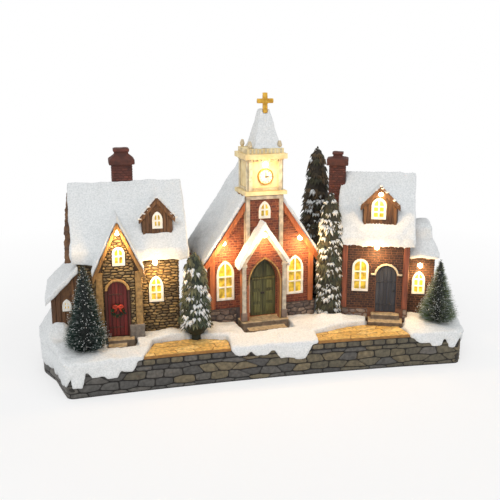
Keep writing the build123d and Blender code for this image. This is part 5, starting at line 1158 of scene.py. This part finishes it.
def around_base(along, up, out):
    """Maps along, up and out on the wall round the base to a point."""
    i = min(max(bisect.bisect_right(lengths, along) - 1, 0), len(path) - 2)
    step = lengths[i + 1] - lengths[i]
    share = (along - lengths[i]) / step
    (x0, y0), (x1, y1) = path[i], path[i + 1]
    normal = ((y1 - y0) / step, (x0 - x1) / step)
    return (x0 + (x1 - x0) * share + normal[0] * out, y0 + (y1 - y0) * share + normal[1] * out, up)


KERB_Z = (17.4, 21.5)
KERB_BRICK = (8.4, 4.1)
WALL_Z = (0.3, 17.2)
WALL_STEP = (12.0, 5.6)
# Stones are grey left of the first x and brown right of the second, and mixed between them; the brown paints
# are also lighter, as painted light on the lit right end
BROWN_AND_PAINTED_LIGHT_X = (-110, 120)
base_stones = Shape(61)
kerb = box_outline(0, lengths[-1], *KERB_Z)
lower = box_outline(0, lengths[-1], *WALL_Z)
wall_cells = fitted(bricks(kerb, base_stones.rng, KERB_BRICK, 0.4), kerb)
wall_cells += fitted(rubble(lower, base_stones.rng, WALL_STEP, 0.24, 1.5), lower)
greys = []
browns_painted_light = []
for cell in wall_cells:
    x = around_base(cell[0][0], 0.0, 0.0)[0]
    brown_painted_light = base_stones.rng.random() < (x - BROWN_AND_PAINTED_LIGHT_X[0]) / (BROWN_AND_PAINTED_LIGHT_X[1] - BROWN_AND_PAINTED_LIGHT_X[0])
    (browns_painted_light if brown_painted_light else greys).append(cell)
for cells, paints in ((greys, BASE_STONES), (browns_painted_light, BASE_STONES_BROWN_AND_PAINTED_LIGHT)):
    base_stones.cells(around_base, cells, 0.6, 0.55, paints, crown=0.1, vary=0.12, joint=0.4, soft=0.16)
base_stones.piece("base_wall_stones", painted_relief, "base_stone", smooth=True)


def along_near(x, y):
    """How far along the wall round the base the spot nearest to a point lies."""
    return min(range(int(lengths[-1])), key=lambda along: span(around_base(along, 0.0, 0.0)[:2], (x, y)))


# Snow over the ends of the wall: from and to on the base's edge, and how low it hangs
DRAPES = (((-152.0, 34.0), (-128.0, -50.0), 8.0), ((131.0, -50.0), (152.0, 20.0), 14.0))
DRAPE_TOP = 22.6
DRAPE_SHORT = DRAPE_TOP - 1.5
DRAPE_STEP = 1.2
DRAPE_FADE = 9.0
DRAPE_WAVE = 4.0
DRAPE_WAVELENGTH = 6.0
drapes = Shape(63)
for start, end, foot in DRAPES:
    first, last = along_near(*start), along_near(*end)
    rows = []
    for i in range(int((last - first) / DRAPE_STEP) + 1):
        along = first + DRAPE_STEP * i
        fade = min(1.0, (along - first) / DRAPE_FADE, (last - along) / DRAPE_FADE + 0.1)
        low = foot + DRAPE_WAVE * noise.noise(Vector((along / DRAPE_WAVELENGTH, 0.0, 0.0)))
        low = DRAPE_SHORT - (DRAPE_SHORT - low) * max(fade, 0.0)
        profile = (
            (-0.2, DRAPE_TOP), (1.6, DRAPE_TOP), (1.8, (DRAPE_TOP + low) / 2),
            (1.5, low + 1.2), (0.7, low), (-0.2, low + 0.3),
        )
        rows.append([around_base(along, up, out) for out, up in profile])
    drapes.tube(rows, [FLOCK] * len(rows) * len(rows[0]))
drapes.piece("end_snow_drapes", snow, "snow", smooth=True)

# Paving stones, clear of the townhouse steps and the fir trunk
PAVING_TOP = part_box("paving")[1].z / MM
FRONT_EDGE = -54.0
FRONT_SAG = 5.0
FRONT_HALF = 135.0
FRONT_MARGIN = 0.4
FLAG_STEP = (12.0, 6.6)
FLAG_LEAST_AREA = 1.0
PAVINGS = (
    [(-90.0, -60.0), (-30.0, -60.0), (-28.0, -33.0), (-52.0, -25.0), (-78.0, -29.0)],
    [(31.0, -60.0), (98.0, -60.0), (96.0, -33.0), (76.0, -25.0), (61.0, -27.0), (32.0, -36.0)],
)
town_steps = [building_point(TOWN, u, v) for u, v in box_outline(19.4, 44.6, -12.4, 2.0)]
trunk = disc(-48.8, -25.0, 3.8)


def flat(along, up, out):
    return (along, up, PAVING_TOP + out)


flags = Shape(62)
for outline in PAVINGS:
    cells = []
    for polygon in fitted(rubble(outline, flags.rng, FLAG_STEP, 0.36, 1.3), outline, [town_steps, trunk]):
        middle = sum(a for a, _ in polygon) / len(polygon)
        slope = 2 * FRONT_SAG * middle / FRONT_HALF ** 2
        reach = FRONT_EDGE + FRONT_SAG * (1 - (middle / FRONT_HALF) ** 2) + slope * middle + FRONT_MARGIN
        polygon = clip(polygon, (-slope, -1.0), -reach)
        if len(polygon) > 2 and area(polygon) > FLAG_LEAST_AREA:
            cells.append(polygon)
    flags.cells(flat, cells, 0.4, 0.35, PAVING_STONES, vary=0.08, joint=0.45, soft=0.1)
flags.piece("paving_flags", painted_relief, "paving_ochre", smooth=True)


# Snow and softened castings
POST_STONE_TOP = 36.2


# Painted light: colours a step by which way each face points, light on top and dark on the sides
def step_painted_light(point, normal):
    share = min(max((normal.z - 0.35) / 0.4, 0.0), 1.0)
    return tuple(a + (b - a) * share for a, b in zip(STEP_SIDE_PAINTED_SHADE, STEP_TOP_PAINTED_LIGHT))


def post_tone(point, normal):
    return POST_STONE if point.z < POST_STONE_TOP else POST_OCHRE


VERGE_X = -129.2
VERGE_Z = (80.0, 122.0)


def verge_pull(point):
    """Draws the bare left edge of the cottage roof in under the snow toward the ridge."""
    if point.x < VERGE_X:
        share = min(max((point.z - VERGE_Z[0]) / (VERGE_Z[1] - VERGE_Z[0]), 0.0), 1.0)
        point = Vector((point.x + (VERGE_X - point.x) * share ** 2, point.y, point.z))
    return point


# Mounds in the ground snow: middle, radius and height
GROUND_HILLS = (
    (-66.0, -21.0, 8.0, 2.2), (-34.0, -14.0, 6.0, 2.2), (44.0, -18.0, 7.0, 4.2),
    (57.0, -19.0, 6.0, 3.8), (-138.0, -30.0, 10.0, 2.0), (138.0, -18.0, 10.0, 2.4),
    (112.0, -44.0, 8.0, 1.4), (-112.0, -47.0, 8.0, 1.0),
)
cast("ground_snow", snow, 0.9, 9, 0.9, 9.0, hills=GROUND_HILLS)
cast("cottage_roof_snow", snow, 0.8, 5, 0.8, 10.0, 1.4)
cast("church_roof_snow", snow, 0.8, 5, 0.7, 9.0, 1.2)
cast("townhouse_roof_snow", snow, 0.8, 5, 0.7, 9.0, 1.2)
cast("church_porch_snow", snow, 0.6, 5, 0.5, 6.0, 0.8)
cast("townhouse_annex_snow", snow, 0.8, 8, 0.8, 9.0, 1.0)
cast("cottage_annex_roof", snow, 0.8, 5, 0.7, 8.0, 1.2)
cast("church_spire", snow, 0.6, 4, 0.4, 7.0)
cast("spire_cross", gold, 0.35, 2, 0.12, 3.0)
for node in ("cottage_steps", "church_steps", "townhouse_steps"):
    cast(node, painted_relief, 0.45, 2, 0.35, 4.0, tone=step_painted_light)
cast("cottage_posts", painted_relief, 0.4, 2, 0.25, 4.0, tone=post_tone)
cast("cottage_door_arch", timber_ochre, 0.35, 2, 0.2, 3.0)
cast("cottage_roof", timber_brown, 0.7, 3, 1.0, 4.0, pull=verge_pull)
for node in ("cottage_dormer", "townhouse_dormer"):
    cast(node, timber_brown, 0.45, 2, 0.5, 2.6)
cast("church_corner_posts", timber_orange, 0.4, 2, 0.15, 4.0)
cast("townhouse_posts", timber_town, 0.4, 2, 0.15, 4.0)
cast("townhouse_door_hood", cream, 0.35, 2, 0.1, 3.0)
cast("belfry_finials", cream, 0.35, 3, 0.1, 3.0)
cast("window_frames", frame_white, 0.22, 2, 0.05, 3.0)
cast("cottage_chimney", chimney_joint, 0.45, 3, 0.2, 5.0)
cast("townhouse_chimney", chimney_joint, 0.45, 3, 0.2, 5.0)

# Lumps of snow that lie over the dormer boards
DORMER_LUMPS = 26
lumps = Shape(25)
for building, left, right, front, back, foot, eave, ridge, holes in DORMERS:
    place = wall(building, (left, front - DORMER_BOARD), (right, front - DORMER_BOARD))
    length = right - left
    slope = (ridge - eave) / (length / 2)
    for i in range(DORMER_LUMPS + 1):
        along = (length + 2 * DORMER_EAVE_PAST) * i / DORMER_LUMPS - DORMER_EAVE_PAST
        level = ridge - slope * abs(along - length / 2) + DORMER_SLAB + lumps.rng.uniform(-0.5, 0.2)
        size = lumps.rng.uniform(0.9, 1.5)
        middle = Vector(place(along, level, lumps.rng.uniform(-1.5, -0.6)))
        lumps.blob(middle, (RIGHT * size * 1.3, BACKWARD * size * 1.2, UP * size * 0.8), FLOCK)
lumps.piece("dormer_snow_lumps", snow, "snow", smooth=True)

# CAD nodes that keep their shape
KEPT = {
    "base_casting": base_joint, "paving": paving_joint, "cottage_walls": cottage_joint,
    "church_walls": church_joint, "church_tower": church_joint, "church_porch": church_joint,
    "church_plinth": plinth_joint, "church_belfry": belfry_cream, "townhouse_walls": town_joint,
    "townhouse_annex": town_joint, "church_roof": timber_orange, "townhouse_roof": timber_brown,
    "cottage_annex": timber_brown, "cottage_door": door_red, "church_door": door_green,
    "townhouse_door": door_blue, "window_panes": pane_glow, "lamps": lamp_glow, "brush_tree_stems": steel,
    "base_plate": black_plastic, "base_plate_screws": steel, "foot_pads": soft_rubber,
    "battery_box": black_plastic, "battery_cover": black_plastic, "battery_cells": cell_jacket,
    "battery_contacts": steel, "switch_body": black_plastic, "switch_slider": switch_plastic,
    "control_board": board_green, "wire_harness": wire_jacket,
}
for node, material in KEPT.items():
    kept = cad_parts[node]
    kept.data.materials.clear()
    kept.data.materials.append(material)

# Brush trees, dense bristles round a wire stem: middle, radius, foot, top, bristle paint, share of pale tips
BRUSHES = (
    ((-122.0, -37.0), 14.4, 28.4, 84.4, BRISTLE_BLUE, 0.15),
    ((124.5, -37.0), 14.0, 28.4, 73.0, BRISTLE_YELLOW, 0.36),
)
BELLY = 0.08
FOOT_SHARE = 0.86
TOP_REACH = 0.9
CORE_SHARE = 0.62
CORE_TOP_SHARE = 0.94
CORE_ROWS = 10
CORE_SIDES = 14
BRISTLES_PER_AREA = 8.0
FLOCK_SHARE = 0.1
FLOCK_FACES = [[0, 2, 4], [0, 4, 3], [0, 3, 5], [0, 5, 2], [1, 4, 2], [1, 3, 4], [1, 5, 3], [1, 2, 5]]


def brush_reach(radius, share):
    """How far the bristles reach at a share of the height: widest a little above the foot."""
    if share < BELLY:
        return radius * (FOOT_SHARE + (1 - FOOT_SHARE) * share / BELLY)
    return radius * (1 - (share - BELLY) / (1 - BELLY)) + TOP_REACH


brush = Shape(71)
flock = Shape(72)
for (x, y), radius, foot, top, green, pale_share in BRUSHES:
    height = top - foot
    rings = []
    for row in range(CORE_ROWS + 1):
        share = row / CORE_ROWS
        ring = disc(x, y, brush_reach(radius, share) * CORE_SHARE, CORE_SIDES)
        rings.append([(a, b, foot + height * CORE_TOP_SHARE * share) for a, b in ring])
    # Painted shade: a near-black core fills the inside of the bristles
    brush.tube(rings, [BRUSH_CORE_PAINTED_SHADE] * len(rings) * CORE_SIDES)
    for i in range(int(height * radius * BRISTLES_PER_AREA)):
        share = 1 - math.sqrt(brush.rng.uniform(0.0004, 1.0))
        reach = brush_reach(radius, share) * brush.rng.uniform(0.8, 1.1)
        angle = brush.rng.uniform(0, 2 * math.pi)
        level = foot + height * share
        start = Vector((x, y, max(level - reach * 0.32, foot - 1.5)))
        tip = Vector((x + reach * math.cos(angle), y + reach * math.sin(angle), min(level, top)))
        pale = brush.rng.random() < pale_share
        # Painted shade: each bristle darkens to near black at its root
        brush.spike(start.lerp(tip, 0.3), tip, 0.2, BRISTLE_ROOT_PAINTED_SHADE, BRISTLE_PALE if pale else green)
        if brush.rng.random() < FLOCK_SHARE:
            size = brush.rng.uniform(0.16, 0.34)
            outward = (tip - start).normalized()
            side = outward.orthogonal().normalized()
            axes = (outward * size * 1.7, side * size, outward.cross(side) * size)
            points = [tip + axes[0] * 0.4, tip - axes[0]]
            points += [tip + axes[1], tip - axes[1], tip + axes[2], tip - axes[2]]
            flock.add(points, FLOCK_FACES, [FLOCK] * len(points))
brush.piece("brush_bristles", tree_paint, "brush_green", "brush_trees")
flock.piece("brush_flock", tree_paint, "snow")

# Fir trees: swell and power shape the outline, snowy is the share of fronds with snow
Fir = namedtuple("Fir", "middle radius foot top swell power lowest tiers snowy greens")
FIRS = (
    Fir((-48.8, -25.0), 12.4, 28.0, 84.6, 1.04, 0.38, 0.1, 12, 0.54,
        palette((78, 84, 62), (58, 68, 50), (92, 92, 66))),
    Fir((57.8, 43.0), 14.6, 30.0, 144.4, 1.2, 0.45, 0.0, 24, 0.34,
        palette((84, 66, 40), (66, 54, 34), (56, 54, 34))),
    Fir((52.7, -6.0), 10.2, 28.0, 117.4, 1.27, 0.38, 0.0, 20, 0.42,
        palette((62, 66, 46), (74, 70, 48), (48, 56, 42))),
)
FIR_NEAR = 2.2
FIR_PAST = 0.3
FIR_CORE = 0.78
FIR_CORE_SHADE = 0.45
FIR_TOP_SLOPE = 0.7
FIR_TRUNK = 0.45
FIR_LEADERS = 5
FIR_SNOW_SHARE = 0.75
# Fronds of one branch: how far each leans to the side, and its share of the length
FAN = ((0.0, 1.0), (-0.38, 0.88), (0.38, 0.88), (-0.78, 0.66), (0.78, 0.66))
fir_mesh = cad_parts["fir_trees"].data
fir_body = BVHTree.FromPolygons(
    [v.co / MM for v in fir_mesh.vertices], [list(polygon.vertices) for polygon in fir_mesh.polygons])


def fir_reach(tree, share):
    """How far a fir's branches reach at a share of its height."""
    rest = max(0.0, 1 - share)
    wide = tree.radius * min(1.0, tree.swell * rest ** tree.power)
    return min(wide, FIR_TOP_SLOPE * rest * (tree.top - tree.foot))


def nearest_fir(point):
    return min(FIRS, key=lambda tree: span(tree.middle, (point.x, point.y)))


def fir_tone(point, normal):
    return shaded(nearest_fir(point).greens[1], FIR_CORE_SHADE)


def fir_pull(point):
    """Draws the casting in under the fronds; what stands nearer to the trunk stays."""
    tree = nearest_fir(point)
    x, y = tree.middle
    share = min(max((point.z - tree.foot) / (tree.top - tree.foot), 0.0), 1.0)
    core = FIR_CORE
    if share < tree.lowest:
        core = FIR_TRUNK + (FIR_CORE - FIR_TRUNK) * share / tree.lowest
    far = max(span((x, y), (point.x, point.y)), 0.01)
    scale = min(1.0, (fir_reach(tree, share) * core + FIR_PAST) / far)
    return Vector((x + (point.x - x) * scale, y + (point.y - y) * scale, point.z))


cast("fir_trees", tree_paint, 0.8, 4, 0.8, 5.0, tone=fir_tone, pull=fir_pull)
firs = Shape(73)
fir_snow = Shape(74)
for tree in FIRS:
    x, y = tree.middle
    height = tree.top - tree.foot
    for tier in range(tree.tiers):
        tier_share = tree.lowest + (1 - tree.lowest) * (tier + 0.15) / tree.tiers
        count = max(6, int(fir_reach(tree, tier_share) * 1.4))
        for i in range(count):
            share = tier_share + firs.rng.uniform(-0.4, 0.4) / tree.tiers
            reach = fir_reach(tree, share) + 0.4
            angle = 2 * math.pi * (i + firs.rng.uniform(-0.35, 0.35) + 0.5 * (tier % 2)) / count
            outward = RIGHT * math.cos(angle) + BACKWARD * math.sin(angle)
            around = BACKWARD * math.cos(angle) - RIGHT * math.sin(angle)
            out = min(reach * firs.rng.uniform(0.86, 1.12), tree.radius + FIR_PAST)
            drop = min(out, 8.0) * firs.rng.uniform(0.55, 0.95)
            axis = Vector((x, y, tree.foot + height * share))
            root = axis + UP * drop * 0.85 + outward * out * 0.5
            tip = axis - UP * drop * 0.3 + outward * out
            colour = firs.rng.choice(tree.greens)
            patch = noise.noise(tip / 9.0) * 0.9
            powdered = fir_snow.rng.random() < tree.snowy + patch
            if fir_body.find_nearest(tip)[3] > FIR_NEAR:
                continue
            size = (tip - root).length
            wide = max(0.7, size * 0.15)
            lift = UP * wide * 0.35 + outward * wide * 0.25
            for fan, long in FAN:
                aim = ((tip - root).normalized() + around * fan).normalized()
                start = root.lerp(tip, 0.2 * abs(fan))
                end = start + aim * size * long
                shade = shaded(colour, firs.rng.uniform(0.65, 1.25))
                firs.leaf(start, end, UP, wide, wide * 0.5, shade, shaded(shade, 1.5), 0.3 * wide)
                if powdered and fir_snow.rng.random() < FIR_SNOW_SHARE:
                    begin = start.lerp(end, fir_snow.rng.uniform(0.0, 0.4)) + lift
                    stop = start.lerp(end, fir_snow.rng.uniform(0.75, 1.0)) + lift
                    fir_snow.leaf(begin, stop, UP, wide * 0.95, wide * 0.45, FLOCK, FLOCK, 0.3 * wide)
    for i in range(FIR_LEADERS):
        lean = RIGHT * math.cos(1.26 * i) + BACKWARD * math.sin(1.26 * i)
        root = Vector((x, y, tree.top - 6.0)) + lean * 1.5
        tip = Vector((x, y, tree.top + 0.5)) + lean * 0.2
        firs.leaf(root, tip, lean, 0.9, 0.5, tree.greens[0], tree.greens[2], 0.3)
firs.piece("fir_fronds", tree_paint, "fir_green")
fir_snow.piece("fir_snow", snow, "snow", smooth=True)

# Battery cover grip ribs, on the moving cover
cover_low, cover_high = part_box("battery_cover")
middle_x = (cover_low.x + cover_high.x) / 2 / MM


def under_cover(along, up, out):
    return (along, up, cover_low.z / MM - out)


RIBS = 4
RIB_HALF = 7
RIB_FROM_EDGE = 3.0
RIB_PITCH = 1.6
RIB_WIDE = 0.8
grip = Shape(81)
for i in range(RIBS):
    level = cover_low.y / MM + RIB_FROM_EDGE + RIB_PITCH * i
    rib = reversed(box_outline(middle_x - RIB_HALF, middle_x + RIB_HALF, level, level + RIB_WIDE))
    grip.cell(under_cover, list(rib), 0.5, 0.2, paint(40, 40, 41))
grip.piece("battery_cover_grip", painted_smooth, "black_plastic", body="battery_cover")

# Light from the lamps of the scene itself: building, place, height and share of the power
LAMP_SPOTS = (
    (COTTAGE, (-99.0, -22.0), 99.2, 1.0),
    (COTTAGE, (-74.0, -14.0), 75.6, 0.8),
    (CHURCH, (-28.6, 0.0), 84.6, 1.2),
    (CHURCH, (28.6, 0.0), 84.6, 1.2),
    (CHURCH, (-2.6, -12.0), 91.2, 0.9),
    (CHURCH, (1.4, -1.7), 138.4, 0.4),
    (TOWN, (25.9, 4.0), 116.15, 0.5),
    (TOWN, (24.4, 0.0), 78.2, 0.8),
    (TOWN, (56.4, 11.0), 63.0, 0.9),
)
LAMP_FORWARD = 9.0
LAMP_DOWN = 6.0
LAMP_POWER = 0.027
LAMP_COLOUR = (1.0, 0.64, 0.27)
LAMP_SIZE = 0.002


def put(name, data, place):
    holder = bpy.data.objects.new(name, data)
    holder.location = place
    bpy.context.scene.collection.objects.link(holder)
    return holder


for i, (building, (u, v), level, power) in enumerate(LAMP_SPOTS):
    x, y = building_point(building, u, v - LAMP_FORWARD)
    light = bpy.data.lights.new("warm_lamp_%d" % i, "POINT")
    light.energy = LAMP_POWER * power
    light.color = LAMP_COLOUR
    light.shadow_soft_size = LAMP_SIZE
    put("warm_lamp_%d" % i, light, (x * MM, y * MM, (level - LAMP_DOWN) * MM))


# Floor, world, studio light and camera, in metres
def seen_rays(tree):
    """1 where the camera, a reflection or a refraction looks, and 0 for the light that falls on things."""
    rays = add_node(tree, "LightPath", {}).outputs
    value = rays["Is Camera Ray"]
    for name in ("Is Glossy Ray", "Is Transmission Ray"):
        value = add_node(tree, "Math", {0: value, 1: rays[name]}, operation="MAXIMUM").outputs[0]
    return value


WHITE = (1.0, 1.0, 1.0, 1)
FLOOR_HALF = 30.0
FLOOR_DROP = -0.0002
# Where the floor begins and ends to whiten, and its shares of white there
FLOOR_NEAR = 0.2
FLOOR_FAR = 0.5
FLOOR_WHITE_SHARES = (0.6, 1.0)
floor_mesh = bpy.data.meshes.new("floor")
corners = [(a, b, FLOOR_DROP) for a, b in box_outline(-FLOOR_HALF, FLOOR_HALF, -FLOOR_HALF, FLOOR_HALF)]
floor_mesh.from_pydata(corners, [], [[0, 1, 2, 3]])
floor_paint = surface("floor_pale", (0.88, 0.88, 0.88), (0.9, 0.9, 0.9), 4, rough=0.9, bump=0.0)
tree = floor_paint.node_tree
white = add_node(tree, "Emission", {"Color": WHITE, "Strength": 1.0})
place = tree.nodes["Texture Coordinate"].outputs["Object"]
distance = add_node(tree, "VectorMath", {}, operation="LENGTH")
feed(tree, distance, {0: place})
whiter = add_node(tree, "MapRange", {
    "Value": distance.outputs["Value"], "From Min": FLOOR_NEAR, "From Max": FLOOR_FAR,
    "To Min": FLOOR_WHITE_SHARES[0], "To Max": FLOOR_WHITE_SHARES[1],
})
share = add_node(tree, "Math", {0: seen_rays(tree), 1: whiter.outputs["Result"]}, operation="MULTIPLY")
painted = tree.nodes["Principled BSDF"].outputs[0]
blend = add_node(tree, "MixShader", {"Fac": share.outputs[0], 1: painted, 2: white.outputs[0]})
feed(tree, tree.nodes["Material Output"], {"Surface": blend.outputs[0]})
floor_mesh.materials.append(floor_paint)
floor = put("floor", floor_mesh, (0, 0, 0))

AMBIENT = 0.66
world = bpy.data.worlds.new("studio")
bpy.context.scene.world = world
world.use_nodes = True
tree = world.node_tree
lit = tree.nodes["Background"]
feed(tree, lit, {"Color": WHITE, "Strength": AMBIENT})
seen = add_node(tree, "Background", {"Color": WHITE, "Strength": 1.0})
choice = add_node(tree, "MixShader", {"Fac": seen_rays(tree), 1: lit.outputs[0], 2: seen.outputs[0]})
feed(tree, tree.nodes["World Output"], {"Surface": choice.outputs[0]})

# Suns: name, where they stand, strength, and spread in degrees
SUNS = (("key", (-0.7, -1.0, 1.25), 0.9, 25.0), ("fill", (1.0, -0.9, 0.8), 0.3, 40.0))
for name, location, strength, spread in SUNS:
    light = bpy.data.lights.new(name, "SUN")
    light.energy = strength
    light.angle = math.radians(spread)
    holder = put(name, light, location)
    holder.rotation_euler = (-Vector(location)).to_track_quat("-Z", "Y").to_euler()

CAMERA_PLACE = (-0.12062, -0.50384, 0.20709)
CAMERA_YAW = 12.918
CAMERA_PITCH = 14.115
camera_data = bpy.data.cameras.new("camera")
camera_data.sensor_width = 36.0
camera_data.lens = 53.9
camera_data.clip_start = 0.01
camera = put("camera", camera_data, CAMERA_PLACE)
camera.rotation_euler = (math.radians(90 - CAMERA_PITCH), 0, math.radians(-CAMERA_YAW))
bpy.context.scene.camera = camera
bpy.context.scene.view_settings.view_transform = "Standard"
